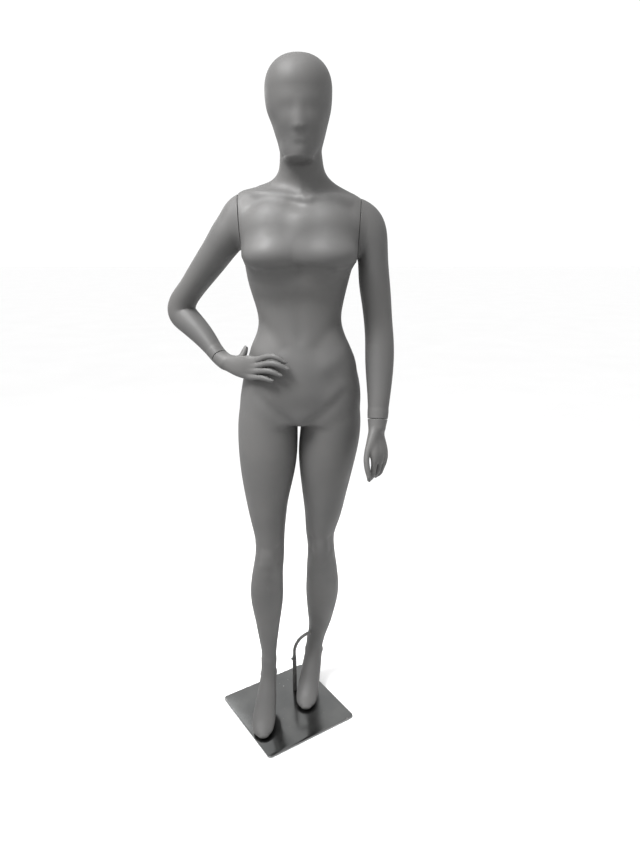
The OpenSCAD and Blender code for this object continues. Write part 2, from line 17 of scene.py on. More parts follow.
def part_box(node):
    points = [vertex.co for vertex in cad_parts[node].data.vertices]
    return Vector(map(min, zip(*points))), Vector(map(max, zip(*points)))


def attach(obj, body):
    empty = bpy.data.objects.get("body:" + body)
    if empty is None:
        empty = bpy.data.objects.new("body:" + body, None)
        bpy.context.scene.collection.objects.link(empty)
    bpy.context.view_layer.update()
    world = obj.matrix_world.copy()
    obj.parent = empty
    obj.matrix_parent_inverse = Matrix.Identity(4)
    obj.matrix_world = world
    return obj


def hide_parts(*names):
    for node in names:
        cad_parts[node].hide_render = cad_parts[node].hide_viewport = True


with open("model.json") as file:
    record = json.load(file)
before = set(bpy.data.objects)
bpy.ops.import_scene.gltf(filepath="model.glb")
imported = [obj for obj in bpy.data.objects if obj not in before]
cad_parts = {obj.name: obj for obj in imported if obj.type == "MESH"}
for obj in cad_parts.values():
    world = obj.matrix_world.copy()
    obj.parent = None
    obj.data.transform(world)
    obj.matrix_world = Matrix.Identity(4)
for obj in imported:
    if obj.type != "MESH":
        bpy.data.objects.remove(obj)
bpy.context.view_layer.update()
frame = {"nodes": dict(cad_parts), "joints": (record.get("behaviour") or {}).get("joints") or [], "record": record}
nodes = frame["nodes"]
joints = {j["name"]: j for j in frame["joints"]}

MM = 0.001
DRAFT = 1.0     # coarser quads while trying things
BATCH = 20000                          # points measured against a path at a time

# ---- Where the frame puts the seams --------------------------------------------------------


def unit(v):
    return np.array(v, float) / np.linalg.norm(v)


def joint_line(name, flip=1.0):
    """A joint's place in millimetres and its axis."""
    joint = joints[name]
    return np.array(joint["pos_m"], float) / MM, unit(joint["axis"]) * flip


RIGHT_SHOULDER, RIGHT_OUT = joint_line("right_arm_turn")
LEFT_SHOULDER, LEFT_OUT = joint_line("left_arm_turn", -1.0)
RIGHT_WRIST, RIGHT_FORE = joint_line("right_hand_turn")
LEFT_WRIST, LEFT_FORE = joint_line("left_hand_turn")
NECK_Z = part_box("head_shell")[0].z / MM
HIP_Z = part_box("torso_shell")[0].z / MM
PLATE_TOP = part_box("base_plate")[1].z / MM

HALF_GAP = 0.6          # half of the gap at an arm or wrist seam
LIP = 1.3               # rounded edge of a shell at a seam
SHOULDER_SEAT = (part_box("right_arm_plate")[1].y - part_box("right_arm_plate")[0].y) / 2 / MM + 0.15
BUSH_SEAT, SOCKET_SEAT = 12.1, 11.1     # in each forearm, in each hand
SLEEVE_BORE = 7.05      # radius of the hole in the left calf
MIDLINE, FACE_X = 48.0, 51.5        # x of the figure's middle and of the face's
SOLE_Z = PLATE_TOP + 0.8

# Edge of the lattice that each skin is taken from
HEAD_VOXEL, TORSO_VOXEL, LEG_VOXEL, ARM_VOXEL, HAND_VOXEL = 2.3, 3.2, 2.7, 2.4, 1.25

# ---- Field tools ---------------------------------------------------------------------------


def smin(a, b, k):
    """Union of two fields with a fillet about k wide."""
    h = np.clip(0.5 + 0.5 * (b - a) / k, 0.0, 1.0)
    return b + (a - b) * h - k * h * (1.0 - h)


def smax(a, b, k):
    """Intersection of two fields with a rounded edge."""
    return -smin(-a, -b, k)


def cubic(x, y, t):
    """Natural cubic spline through the rows y at x, read at t."""
    n = len(x)
    h = np.diff(x)
    system = np.eye(n)
    right = np.zeros_like(y)
    for i in range(1, n - 1):
        system[i, i - 1:i + 2] = h[i - 1], 2 * (h[i - 1] + h[i]), h[i]
        right[i] = 6 * ((y[i + 1] - y[i]) / h[i] - (y[i] - y[i - 1]) / h[i - 1])
    m = np.linalg.solve(system, right)
    k = np.clip(np.searchsorted(x, t) - 1, 0, n - 2)
    u, v, w = (t - x[k])[:, None], (x[k + 1] - t)[:, None], h[k][:, None]
    return ((m[k] * v**3 + m[k + 1] * u**3) / (6 * w)
            + (y[k] / w - m[k] * w / 6) * v + (y[k + 1] / w - m[k + 1] * w / 6) * u)


def soften(table, sigma):
    """Gaussian blur down a table's rows, with its ends kept."""
    reach = int(3 * sigma)
    kernel = np.exp(-0.5 * (np.arange(-reach, reach + 1) / sigma) ** 2)
    kernel /= kernel.sum()
    head = 2 * table[0] - table[reach:0:-1]
    tail = 2 * table[-1] - table[-2:-reach - 2:-1]
    padded = np.vstack([head, table, tail])
    return np.stack([np.convolve(c, kernel, "valid") for c in padded.T], 1)


def radial(a, b, power):
    """Distance-like value of points at a, b in units of a superellipse's half sizes."""
    return (np.abs(a) ** power + np.abs(b) ** power) ** (1.0 / power)


def slices(rows, axis, soft, power=2.2):
    """Solid with superellipse sections across an axis.

    A row is [t, centre a, centre b, half a-, half a+, half b-, half b+], where a and b are the
    other two axes in order."""
    rows = np.array(rows, float)
    t = np.arange(rows[0, 0], rows[-1, 0] + 1.0)
    table = soften(cubic(rows[:, 0], rows[:, 1:], t), soft)
    ia, ib = [i for i in range(3) if i != axis]

    def field(p, parts=False):
        ca, cb, an, ap, bn, bp = (np.interp(p[:, axis], t, c) for c in table.T)
        a, b = p[:, ia] - ca, p[:, ib] - cb
        rho = np.maximum(np.hypot(a, b), 1e-6)
        r = radial(a / np.where(a < 0, an, ap), b / np.where(b < 0, bn, bp), power)
        return (rho, r) if parts else rho - rho / np.maximum(r, 1e-9)

    return field


def upright(rows):
    """Turns [z, centre x, centre y, half width, front, back] into slices() rows."""
    return [[z, cx, cy, hx, hx, front, back] for z, cx, cy, hx, front, back in rows]


def sweep(stations, soft, step, across=None, depth=None, power=2.0):
    """Rounded solid along a smooth path.

    A station is [x, y, z, half size across, front half size, back half size]; sizes left out
    are the one before. across (or depth) is the fixed direction that the first (or second)
    size keeps to. A point's place along the path allows for the path's bend there."""
    st = np.array([list(s) + [s[-1]] * (6 - len(s)) for s in stations], float)
    run = np.concatenate([[0], np.cumsum(np.linalg.norm(np.diff(st[:, :3], axis=0), axis=1))])
    s = np.arange(0, run[-1] + step / 2, step)
    table = soften(cubic(run, st, s), soft / step)
    c, size = table[:, :3], np.maximum(table[:, 3:], 0.5)
    n = np.gradient(c, axis=0)
    n /= np.linalg.norm(n, axis=1)[:, None]
    bend = np.gradient(n, axis=0) / step
    base = np.array(across if across is not None else depth, float)
    w = base - (n @ base)[:, None] * n
    w /= np.linalg.norm(w, axis=1)[:, None]
    u, v = (w, np.cross(n, w)) if across is not None else (np.cross(w, n), w)
    last = len(c) - 1
    c2 = (c * c).sum(1)

    def field(p):
        near = np.empty(len(p), int)
        for i in range(0, len(p), BATCH):
            near[i:i + BATCH] = np.argmin(c2 - 2.0 * (p[i:i + BATCH] @ c.T), axis=1)
        away = p - c[near]
        turning = np.clip(1.0 - (away * bend[near]).sum(1), 0.35, 4.0)
        t = near + (away * n[near]).sum(1) / (turning * step)
        inside = (t > 0) & (t < last)
        t = np.clip(t, 0, last)
        i = np.minimum(t.astype(int), last - 1)
        f = (t - i)[:, None]
        d = p - (c[i] * (1 - f) + c[i + 1] * f)
        sz = size[i] * (1 - f) + size[i + 1] * f
        a = (d * (u[i] * (1 - f) + u[i + 1] * f)).sum(1)
        b = (d * (v[i] * (1 - f) + v[i + 1] * f)).sum(1)
        e = np.where(inside, 0.0, (d * n[i]).sum(1))
        hb = np.where(b > 0, sz[:, 1], sz[:, 2])
        end = np.minimum(sz[:, 0], hb)
        r = (radial(a / sz[:, 0], b / hb, power) ** 2 + (e / end) ** 2) ** 0.5
        rho = np.maximum(np.sqrt(a * a + b * b + e * e), 1e-6)
        return rho - rho / np.maximum(r, 1e-9)

    return field


def ball(p, centre, radii, turn=None):
    """Ellipsoid; turn has its axes as rows."""
    d = p - np.array(centre, float)
    if turn is not None:
        d = d @ np.array(turn, float).T
    rho = np.maximum(np.linalg.norm(d, axis=1), 1e-6)
    r = np.linalg.norm(d / np.array(radii, float), axis=1)
    return rho - rho / np.maximum(r, 1e-9)


def along(p, path):
    """Squared distance to a polyline."""
    path = np.array(path, float)
    if len(path) == 1:
        return ((p - path[0]) ** 2).sum(1)
    best = np.full(len(p), 1e12)
    for a, b in zip(path[:-1], path[1:]):
        ab = b - a
        t = np.clip(((p - a) @ ab) / (ab @ ab), 0, 1)
        best = np.minimum(best, ((p - a - t[:, None] * ab) ** 2).sum(1))
    return best


def swell(p, f, path, radius, amount):
    """Raises a soft ridge along a path on the surface, or sinks a groove where amount < 0."""
    path = np.array(path, float).reshape(-1, 3)
    reach = 3.0 * radius
    m = ((p > path.min(0) - reach) & (p < path.max(0) + reach)).all(1)
    if m.any():
        f[m] -= amount * np.exp(-along(p[m], path) / radius**2)


def blend_where(m, p, f, part, k):
    """Joins a part on, only at the points of a mask."""
    if m.any():
        f[m] = smin(f[m], part(p[m]), k)


def blend_in(p, f, low_z, high_z, part, k):
    """Joins a part on, only between two heights."""
    blend_where((p[:, 2] > low_z) & (p[:, 2] < high_z), p, f, part, k)


# ---- The figure ----------------------------------------------------------------------------
# Rows are [z, centre x, centre y, half width, front, back], stations as in sweep().

chest_and_hips = slices(upright([
    [872, 46, 56, 106, 88, 92], [900, 46, 56, 126, 95, 98], [926, 48, 56, 144, 101, 104],
    [954, 49, 56, 155, 105, 106], [982, 50, 55, 156, 107, 104], [1009, 50, 54, 153, 106, 100],
    [1036, 50, 52, 148, 103, 95], [1063, 51, 51, 142.5, 99, 89], [1090, 50, 50, 133, 93, 83],
    [1116, 49, 49, 121.5, 88, 79], [1142, 49, 49, 111.5, 84, 77], [1168, 48, 49, 107, 82, 77],
    [1194, 47, 50, 109.5, 82, 79], [1219, 46, 50, 115.5, 84, 83], [1244, 45, 50, 122, 90.5, 88],
    [1270, 45, 50, 128.5, 95.5, 92], [1294, 46, 50, 133.5, 97, 95], [1319, 47, 51, 137, 93, 97],
    [1345, 48, 52, 138, 91, 97], [1380, 48, 54, 135, 88, 96], [1420, 49, 56, 122, 78, 91],
    [1450, 50, 57, 100, 68, 82], [1475, 52, 57, 78, 58, 68],
]), axis=2, soft=9, power=2.25)

shoulders = slices([
    [-128, 51, 1396, 30, 30, 32, 32], [-112, 50, 1406, 41, 41, 50, 50],
    [-98, 50, 1413, 47, 47, 61, 64], [-75, 51, 1416, 50, 53, 63, 71],
    [-50, 53, 1420, 53, 60, 64, 75.5], [-20, 54, 1425, 56, 65, 66, 80.5],
    [5, 55, 1430, 58, 67, 70, 82], [48, 55, 1432, 59, 68, 74, 82],
    [100, 55, 1429, 58, 67, 70, 81], [126, 54, 1424, 56, 65, 66, 81],
    [150, 53, 1417, 53, 60, 66, 76], [175, 52, 1407, 50, 53, 68, 73],
    [196, 50, 1397, 47, 47, 68, 68.5], [210, 50, 1389, 41, 41, 55, 55],
    [226, 50, 1378, 30, 30, 36, 36],
], axis=0, soft=4, power=2.15)

neck = slices(upright([
    [1440, 55, 58, 73, 52, 54], [1490, 56, 52, 64, 51, 52], [1522, 55.5, 47, 57, 49, 50],
    [1550, 54.5, 41, 52, 48, 49], [1576, 53.5, 37, 50, 47, 50], [1600, 53, 36, 49, 46, 52],
    [1640, 52, 38, 50, 40, 52],
]), axis=2, soft=7, power=2.05)

HEAD_LOW, HEAD_HIGH, CROWN, CHIN = 1556.0, 1700.0, 79.5, 19.0
face_and_skull = slices(upright([
    [1540, 49.5, -14, 24, 35, 26], [1548, 50, -10, 29, 40.5, 30], [1559, 51, -1, 37, 51, 36],
    [1573, 52.3, 10, 45, 63.5, 45], [1589, 53.4, 23, 52, 79, 58], [1603, 53, 31, 58, 89, 70],
    [1630, 52, 33, 66.5, 93.5, 85], [1656, 50, 33, 75, 93, 93], [1678, 49.3, 33, 78.5, 92, 96],
    [1692, 49, 33, 79.3, 91.3, 97], [1702, 49, 33, 79.5, 91, 97], [1712, 49, 33, 79.5, 91, 97],
]), axis=2, soft=5, power=2.15)

leg_rows = {
    "right": [
        [-26, 58, 980, 76, 88, 92], [-37, 52, 930, 79, 90, 94], [-41, 48, 890, 80.5, 88, 92],
        [-42, 42, 820, 80, 86, 89], [-44.5, 38, 752, 73, 80, 84], [-47, 33, 682, 60, 71, 75],
        [-45, 28, 612, 48.5, 61, 63], [-42.5, 25, 560, 41.5, 56, 56],
        [-44, 21, 503, 41, 54, 51], [-50, 22, 455, 43.5, 49, 56], [-54, 26, 405, 47, 47, 62],
        [-55, 28, 355, 46, 44, 57], [-54, 23, 300, 37.5, 38, 48], [-53, 15, 240, 28, 32, 38],
        [-52, 8, 190, 21.5, 27.5, 32], [-53, 5, 150, 20.5, 27, 33],
        [-54.5, 2, 112, 19.5, 25, 30],
    ],
    "left": [
        [118, 58, 980, 80, 88, 92], [126, 55, 930, 81.5, 90, 94], [129, 53, 890, 81.5, 88, 92],
        [122, 56, 820, 80.5, 86, 89], [116, 60, 752, 73, 80, 84], [112, 64, 682, 62, 71, 75],
        [107, 66, 612, 50.5, 61, 63], [101, 69, 560, 41.5, 56, 56],
        [103, 71, 510, 38.5, 54, 52], [105, 76, 455, 43, 49, 57], [107, 83, 405, 47, 46, 62],
        [107, 90, 350, 48.5, 43, 58], [104, 98, 297, 43, 39, 50], [100.5, 106, 248, 36, 34, 41],
        [93.5, 113, 200, 28.5, 30, 34], [85.5, 119, 155, 25, 27, 31.5],
        [82, 120, 115, 21.5, 25, 29],
    ],
}
foot_rows = {
    "right": [
        [-53, 6, 172, 20.5, 26, 31], [-54, 3, 136, 20.5, 28, 34], [-56.5, -8, 104, 24, 30, 38],
        [-59, -31, 74, 28, 29, 35], [-63, -60, 47, 31.5, 24, 27], [-66, -88, 28, 33, 19, 19],
        [-66, -109, 20, 29.5, 14, 13], [-64.5, -122, 17.5, 24, 10.5, 10],
        [-63.5, -130, 15.5, 15, 7, 7],
    ],
    "left": [
        [86, 120, 168, 24, 27, 31], [81.5, 118, 132, 24, 29, 34], [78, 107, 103, 27, 30, 38],
        [72, 84, 74, 29.5, 29, 35], [66, 55, 47, 31.5, 24, 27], [60, 27, 28, 33, 19, 19],
        [57.5, 5, 20, 29.5, 14, 13], [57, -8, 17.5, 24, 10.5, 10],
        [57, -16, 15.5, 15, 7, 7],
    ],
}
foot_across = {"right": (1, -0.04, 0), "left": (0.983, -0.184, 0)}
heel_at = {"right": (-57, 22, 86), "left": (82, 136, 84)}
malleoli = {
    "right": [((-77, 12, 118), 9, 3.5), ((-35, 4, 128), 10, 3.5)],
    "left": [((109, 122, 120), 9, 3.5), ((60, 114, 130), 10, 3.5)],
}
knee_at = {"right": (-43, -33, 512), "left": (103, 17, 520)}

leg_sweeps = {s: sweep(r, across=(1, 0, 0), soft=9, step=3) for s, r in leg_rows.items()}
foot_sweeps = {
    s: sweep(r, across=foot_across[s], soft=5, step=2, power=2.15) for s, r in foot_rows.items()
}


def leg(side):
    """Field of one whole leg, from inside the hip to the toe."""
    kx, ky, kz = knee_at[side]
    out = -1 if side == "right" else 1

    def field(p):
        f = leg_sweeps[side](p)
        blend_in(p, f, -50, 210, foot_sweeps[side], 9)
        low = p[:, 2] < 230
        if low.any():
            q, g = p[low], f[low]
            g = smin(g, ball(q, heel_at[side], (21.5, 23, 31)), 16)
            for at, radius, amount in malleoli[side]:
                swell(q, g, at, radius, amount)
            hx, hy, hz = heel_at[side]
            for s in (-1, 1):
                swell(q, g, [(hx + s * 21, hy - 2, hz + 58)], 13, -2.5)
            f[low] = smax(g, SOLE_Z - q[:, 2], 5)
        swell(p, f, [(kx, ky, kz - 8), (kx, ky, kz + 12)], 20, 4.5)
        swell(p, f, [(kx - 1, ky + 1, kz - 46)], 12, 2.2)
        for s in (-1, 1):
            swell(p, f, [(kx + s * 27, ky + 16, kz - 4), (kx + s * 24, ky + 10, kz + 34)], 13, -3)
        swell(p, f, [(kx, ky - 8, kz + 130), (kx - out * 4, ky - 2, kz + 60)], 26, 2.5)
        swell(p, f, [(kx, ky + 104, kz), (kx + 2, ky + 102, kz - 30)], 22, -4)
        swell(p, f, [(kx - out * 8, ky + 4, kz - 90), (kx - out * 5, ky + 20, kz - 290)], 9, 1.2)
        return f

    return field


legs = {side: leg(side) for side in leg_rows}

GIRDLE_HALF = 172.0                     # from the middle to where the girdle ends
CROTCH_Z, CHEST_TOP_Z = 903.0, 1452.0   # where the torso's own form ends
THIGH_BLEND = 20                        # fillet between the torso and a leg


def girdle(p):
    """The shoulders, ended just outside their seams."""
    return smax(shoulders(p), np.abs(p[:, 0] - MIDLINE - 1) - GIRDLE_HALF, 8)


def torso_shapes(p):
    """Chest, hips, shoulders, breasts, seat and neck."""
    f = chest_and_hips(p)
    f = smax(f, CROTCH_Z - p[:, 2], 12)
    f = smax(f, p[:, 2] - CHEST_TOP_Z, 34)
    blend_in(p, f, 1290, 1560, girdle, 22)
    for side in (-1, 1):
        x = MIDLINE + side * 69 + 3
        blend_in(p, f, 1240, 1500, lambda q: ball(q, (x - side * 9, -3, 1374), (71, 50, 80)), 52)
        blend_in(p, f, 1240, 1470, lambda q: ball(q, (x, -25, 1332), (65, 53, 38)), 38)
        x = MIDLINE + side * 66
        blend_in(p, f, 800, 1090, lambda q: ball(q, (x, 96, 950), (75, 74, 78)), 26)
    blend_in(p, f, 1400, 1640, neck, 30)
    return f


# For each side: a collar bone, the hollow under it, the pit over it and the neck's cord
collar = (
    ([(60, -22, 1464), (36, -18, 1470), (7, -11, 1475), (-28, 2, 1479), (-58, 14, 1478)],
     [(44, -24, 1440), (4, -14, 1446), (-40, 4, 1448), (-74, 16, 1446)],
     [(28, 10, 1494), (-4, 22, 1494)],
     [(61, -18, 1474), (45, -6, 1512), (22, 14, 1560)]),
    ([(78, -22, 1466), (102, -16, 1472), (130, -6, 1470), (166, 12, 1459)],
     [(90, -26, 1442), (126, -14, 1446), (160, 4, 1436)],
     [(98, 10, 1492), (128, 24, 1486)],
     [(76, -18, 1474), (82, -6, 1510), (92, 14, 1558)]),
)


def torso_relief(p, f):
    """Collar bones, neck cords, ribs, belly, groins, spine and shoulder blades."""
    for side in (-1, 1):
        def at(*points):
            return [(MIDLINE + side * x, y, z) for x, y, z in points]
        swell(p, f, at((6, -50, 1304), (60, -62, 1297), (108, -34, 1300)), 15, -3.5)
        swell(p, f, at((10, -42, 1266), (56, -38, 1258), (98, -10, 1258)), 22, 1.5)
        swell(p, f, at((14, -36, 1222), (62, -30, 1218), (96, -6, 1226)), 24, -1.4)
        swell(p, f, at((28, -42, 1200), (24, -44, 1130)), 20, 1.0)
        swell(p, f, at((92, 4, 1162), (68, -24, 1138), (46, -38, 1112)), 20, -3.2)
        swell(p, f, at((120, 14, 1104), (96, -22, 1084), (66, -44, 1062)), 24, 4.2)
        swell(p, f, at((108, -30, 1010), (84, -50, 980)), 24, 2.5)
        swell(p, f, at((112, -40, 988), (66, -50, 944), (20, -42, 908)), 14, -4.2)
        swell(p, f, at((52, 150, 1405), (66, 148, 1350)), 30, 5.5)
        swell(p, f, at((24, 150, 1400), (30, 150, 1335)), 18, -3)
        swell(p, f, at((20, 132, 1280), (16, 126, 1140)), 20, 2.5)
        swell(p, f, at((34, 150, 1040)), 9, -2.2)
        swell(p, f, at((70, 160, 872), (30, 150, 880)), 14, -3.5)
        swell(p, f, at((128, 96, 960)), 30, -4)
    for ridge, hollow, pit, cord in collar:
        swell(p, f, ridge, 15, 5)
        swell(p, f, hollow, 25, -4)
        swell(p, f, pit, 23, -4)
        swell(p, f, cord, 13, 3)
    swell(p, f, [(69, -24, 1474), (66, -18, 1488)], 11, -5.5)
    swell(p, f, [(MIDLINE + 3, -48, 1418), (MIDLINE + 3, -64, 1322)], 30, 6)
    swell(p, f, [(MIDLINE, -46, 1280), (MIDLINE, -40, 1130)], 13, -1.0)
    swell(p, f, [(MIDLINE, -50, 1070), (MIDLINE, -56, 1000)], 46, 4.5)
    swell(p, f, [(MIDLINE + 1, -46, 926)], 24, 3.5)
    swell(p, f, [(MIDLINE, 152, 1420), (MIDLINE, 146, 1300), (MIDLINE, 128, 1160),
                 (MIDLINE, 140, 1050)], 14, -6)
    swell(p, f, [(MIDLINE - 2, 172, 1010), (MIDLINE - 3, 182, 950), (MIDLINE - 4, 160, 892)],
          13, -13)


nose = sweep([
    [51, -42, 1666, 8, 7], [51, -47, 1646, 9, 8], [51.2, -51, 1629, 10, 9],
    [51.5, -54.3, 1616, 11, 9],
], across=(1, 0, 0), soft=3, step=1)


def head_shapes(p):
    """Skull and face: sections between two heights, rounded off above and below them."""
    z = p[:, 2]
    q = p.copy()
    q[:, 2] = np.clip(z, HEAD_LOW, HEAD_HIGH)
    plane, ratio = face_and_skull(q, parts=True)
    up, down = np.maximum(z - HEAD_HIGH, 0), np.maximum(HEAD_LOW - z, 0)
    power = np.where(z > HEAD_HIGH, 2.25, 2.0)
    r = (ratio**power + (up / CROWN) ** power + (down / CHIN) ** power) ** (1 / power)
    rho = np.maximum(np.sqrt(plane**2 + up**2 + down**2), 1e-6)
    f = rho - rho / np.maximum(r, 1e-9)
    f = smin(f, nose(p), 16)
    cx = FACE_X
    for side in (-1, 1):
        swell(p, f, [(cx + side * 20, -58, 1649), (cx + side * 36, -50, 1649)], 16, -1.6)
        swell(p, f, [(cx + side * 13, -60, 1672), (cx + side * 38, -50, 1673)], 13, 0.5)
        swell(p, f, [(cx + side * 42, -38, 1624)], 20, 1.0)
        swell(p, f, [(cx + side * 31, -50, 1598)], 17, -1.0)
        swell(p, f, [(cx + side * 8, -68, 1611)], 5, 1.1)
    swell(p, f, [(cx - 13, -57, 1593), (cx, -62, 1594.5), (cx + 13, -57, 1593)], 8, 1.0)
    swell(p, f, [(cx - 9, -57, 1585), (cx + 9, -57, 1585)], 7.5, 1.0)
    swell(p, f, [(cx - 15, -58, 1589.5), (cx, -64, 1589.8), (cx + 15, -58, 1589.5)], 3.5, -0.6)
    swell(p, f, [(cx, -60, 1577)], 8, -1.0)
    swell(p, f, [(cx - 1, -50, 1562)], 15, 1.8)
    return f


def figure(p):
    """Head, torso and the tops of the legs as one smooth body."""
    f = torso_shapes(p)
    blend_where(p[:, 2] < 1090, p, f,
                lambda q: np.minimum(legs["right"](q), legs["left"](q)), THIGH_BLEND)
    high = p[:, 2] > 1500
    if high.any():
        q = p[high]
        nape = np.clip((q[:, 1] - 45) / 45, 0, 1)     # a wider fillet there than at the chin
        f[high] = smin(f[high], head_shapes(q), 16 + 16 * nape)
    torso_relief(p, f)
    return f


def one_leg(side):
    """One leg with the underside of the torso blended in."""

    def field(p):
        f = legs[side](p)
        high = p[:, 2] > 790
        if high.any():
            q = p[high]
            g = smin(torso_shapes(q), f[high], THIGH_BLEND)
            torso_relief(q, g)
            f[high] = g
        return f

    return field


# ---- Arms and hands ------------------------------------------------------------------------

arm_rows = {
    "right": [
        [-60, 51, 1426, 60, 47], [-88, 50, 1417.5, 59, 46], [-109, 51, 1400, 50.5, 45.5],
        [-131, 54, 1377, 45.5, 45], [-151, 62, 1352, 42, 43], [-176, 74, 1321, 39.5, 40],
        [-216, 96, 1273, 35.5, 37], [-248, 114, 1234, 33.5, 35.5], [-268, 124, 1205, 36, 35],
        [-272, 125, 1181, 38, 35], [-256, 114, 1162, 36, 35], [-227, 95, 1137.5, 32, 34],
        [-195, 72, 1105.5, 26, 30], [-163, 48, 1071, 20.5, 26], [-147, 36, 1060, 20.5, 24],
    ],
    "left": [
        [160, 50, 1410, 64, 47], [190, 50, 1402, 64, 47], [211, 50, 1386, 59, 46.5],
        [226.5, 51, 1360, 45.5, 45.5], [233.5, 52, 1328, 39, 44], [239, 54, 1269, 39.5, 42],
        [246, 57, 1218, 38.5, 39], [252, 58, 1166, 37, 37], [256, 49, 1115, 37.5, 38],
        [256, 34, 1065, 37.5, 37.5], [255, 18, 1015, 34, 34.5], [253, 2, 965, 29, 30.5],
        [250, -12, 917, 24.5, 26], [249, -18, 896, 22, 26],
    ],
}
arm_sweeps = {s: sweep(r, depth=(0, 1, 0), soft=8, step=2) for s, r in arm_rows.items()}
SHOULDER_BLEND = 9


# The first stations of an arm, which the torso's side of the seam blends into
stubs = {s: sweep(r[:7], depth=(0, 1, 0), soft=8, step=2) for s, r in arm_rows.items()}


def torso_with_stubs(p):
    """The figure with the arms' first stations, which the seams cut through."""
    f = figure(p)
    for side, sign in (("right", -1), ("left", 1)):
        m = (p[:, 2] > 1230) & (p[:, 2] < 1500) & (sign * (p[:, 0] - MIDLINE) > 60)
        blend_where(m, p, f, stubs[side], SHOULDER_BLEND)
    return f


WRISTS = {"right": RIGHT_WRIST, "left": LEFT_WRIST}
WRIST_REACH, WRIST_BLEND = 45, 5
elbow = {"right": (-289, 158, 1196), "left": (262, 95, 1172)}

palm_sweeps = {
    "right": sweep([
        [-176, 57, 1084, 20, 26], [-163, 48, 1071, 20.5, 26], [-149, 37, 1063, 21, 22.5],
        [-130, 21, 1058, 23.5, 17, 18], [-108, 1, 1055, 27.5, 12.5, 15],
        [-88, -16, 1056, 30.5, 9.8, 13], [-73, -27, 1058, 30.5, 7.8, 11],
        [-63, -35, 1058, 27, 6, 8.5],
    ], depth=(0, 1, 0), soft=4, step=1, power=2.2),
    "left": sweep([
        [251.5, -7, 934, 25.5, 26.5], [250, -12, 917, 24.5, 26], [248.5, -16, 902, 20.5, 25.5],
        [247, -22, 884, 17.5, 27], [247, -30, 860, 16, 34], [250.5, -38, 839, 16.5, 35],
        [252.5, -43, 825, 15, 32.5], [253, -45, 817, 11, 28],
    ], depth=(0.6, 0.8, 0), soft=4, step=1, power=2.2),
}

# A digit is a list of [x, y, z, radius] from inside the palm to the middle of its tip
digit_rows = {
    "right": [
        [[-92, -4, 1070, 8.5], [-60, -34, 1078, 8.6], [-38, -53, 1089, 7.2], [-19, -63, 1093, 7.4],
         [1, -68, 1086, 6.3], [11, -68, 1079, 4.9]],
        [[-92, -5, 1061, 8.5], [-60, -36, 1064, 8.8], [-38, -57, 1073, 7.3], [-19, -67, 1076, 7.5],
         [4, -72, 1069.5, 6.4], [16, -72, 1063, 4.9]],
        [[-96, -3, 1051, 8.5], [-66, -34, 1050, 8.5], [-46, -54, 1055, 7.1], [-29, -63, 1056, 7.3],
         [-10, -68, 1051, 6.3], [-1, -69, 1046, 4.9]],
        [[-102, -2, 1041, 6.8], [-77, -28, 1034, 7.6], [-60, -44, 1036, 6.5], [-46, -54, 1037, 6.7],
         [-31, -61, 1034, 5.7], [-23, -63, 1031, 4.5]],
        [[-118, 13, 1058, 11], [-104.8, 11.5, 1072, 10.3], [-98.1, 14, 1085, 8.8],
         [-94.2, 19, 1094, 7.5], [-92.2, 22, 1098.5, 5.5]],
    ],
    "left": [
        [[238, -46, 864, 8], [239, -62, 823.5, 9.2], [238, -63, 801.5, 7.6], [235, -62, 782.5, 7.5],
         [230, -57, 767.5, 6.3], [227, -53, 762.5, 5]],
        [[248, -34, 862, 8], [252, -50, 821.5, 9.2], [252, -50, 798.5, 7.6],
         [247.5, -48, 781.5, 7.4], [241, -43, 771.5, 6.2], [238, -40, 768.5, 5]],
        [[256, -20, 862, 8], [262, -36, 818.5, 9], [262, -36, 793.5, 7.5], [257.5, -33, 777.5, 7.3],
         [250, -28, 766.5, 6.1], [247, -25, 763.5, 5]],
        [[262, -8, 864, 7], [270, -20, 819.5, 8.3], [269.5, -20, 798.5, 6.9],
         [264.5, -18, 784.5, 6.6], [259, -15, 774.5, 5.6], [257, -13, 771.5, 4.5]],
        [[245, -22, 906, 7], [239, -36, 888, 10], [230, -50, 868, 10.3], [222, -62, 847, 8.6],
         [217.5, -72, 827, 7.5], [219, -80, 806, 7.5], [222, -84, 790, 6.4], [224, -86, 782, 5]],
    ],
}
# The way that the backs of the fingers and the back of the thumb face
nail_side = {
    "right": [(0.35, -0.7, 0.62)] * 4 + [(-0.5, -0.8, 0.3)],
    "left": [(0.75, -0.55, -0.4)] * 4 + [(-0.75, -0.6, 0.1)],
}


def digit(stations, nail_way, back_way):
    """One finger with knuckles and a nail."""
    body = sweep(stations, across=back_way, soft=3, step=1)
    st = np.array(stations, float)
    run = unit(st[-1, :3] - st[-2, :3])
    up = unit(np.array(nail_way) - (np.array(nail_way) @ run) * run)
    r = st[-1, 3]
    nail_at = st[-1, :3] - run * 1.0 + up * (r - 0.55)
    nail_axes = [run, np.cross(up, run), up]
    back = unit(nail_way)

    def field(p):
        f = body(p)
        swell(p, f, [st[1, :3] + back * 6], 8, 1.6)
        swell(p, f, [st[3, :3] + up * 4], 6, 0.7)
        return np.minimum(f, ball(p, nail_at, (7.2, r * 0.86, 1.7), nail_axes))

    return field


digits = {
    s: [digit(st, nail_side[s][i], (0.3, 0.2, 1.0)) for i, st in enumerate(rows)]
    for s, rows in digit_rows.items()
}


def near_wrist(side, p):
    return np.linalg.norm(p - WRISTS[side], axis=1) < WRIST_REACH


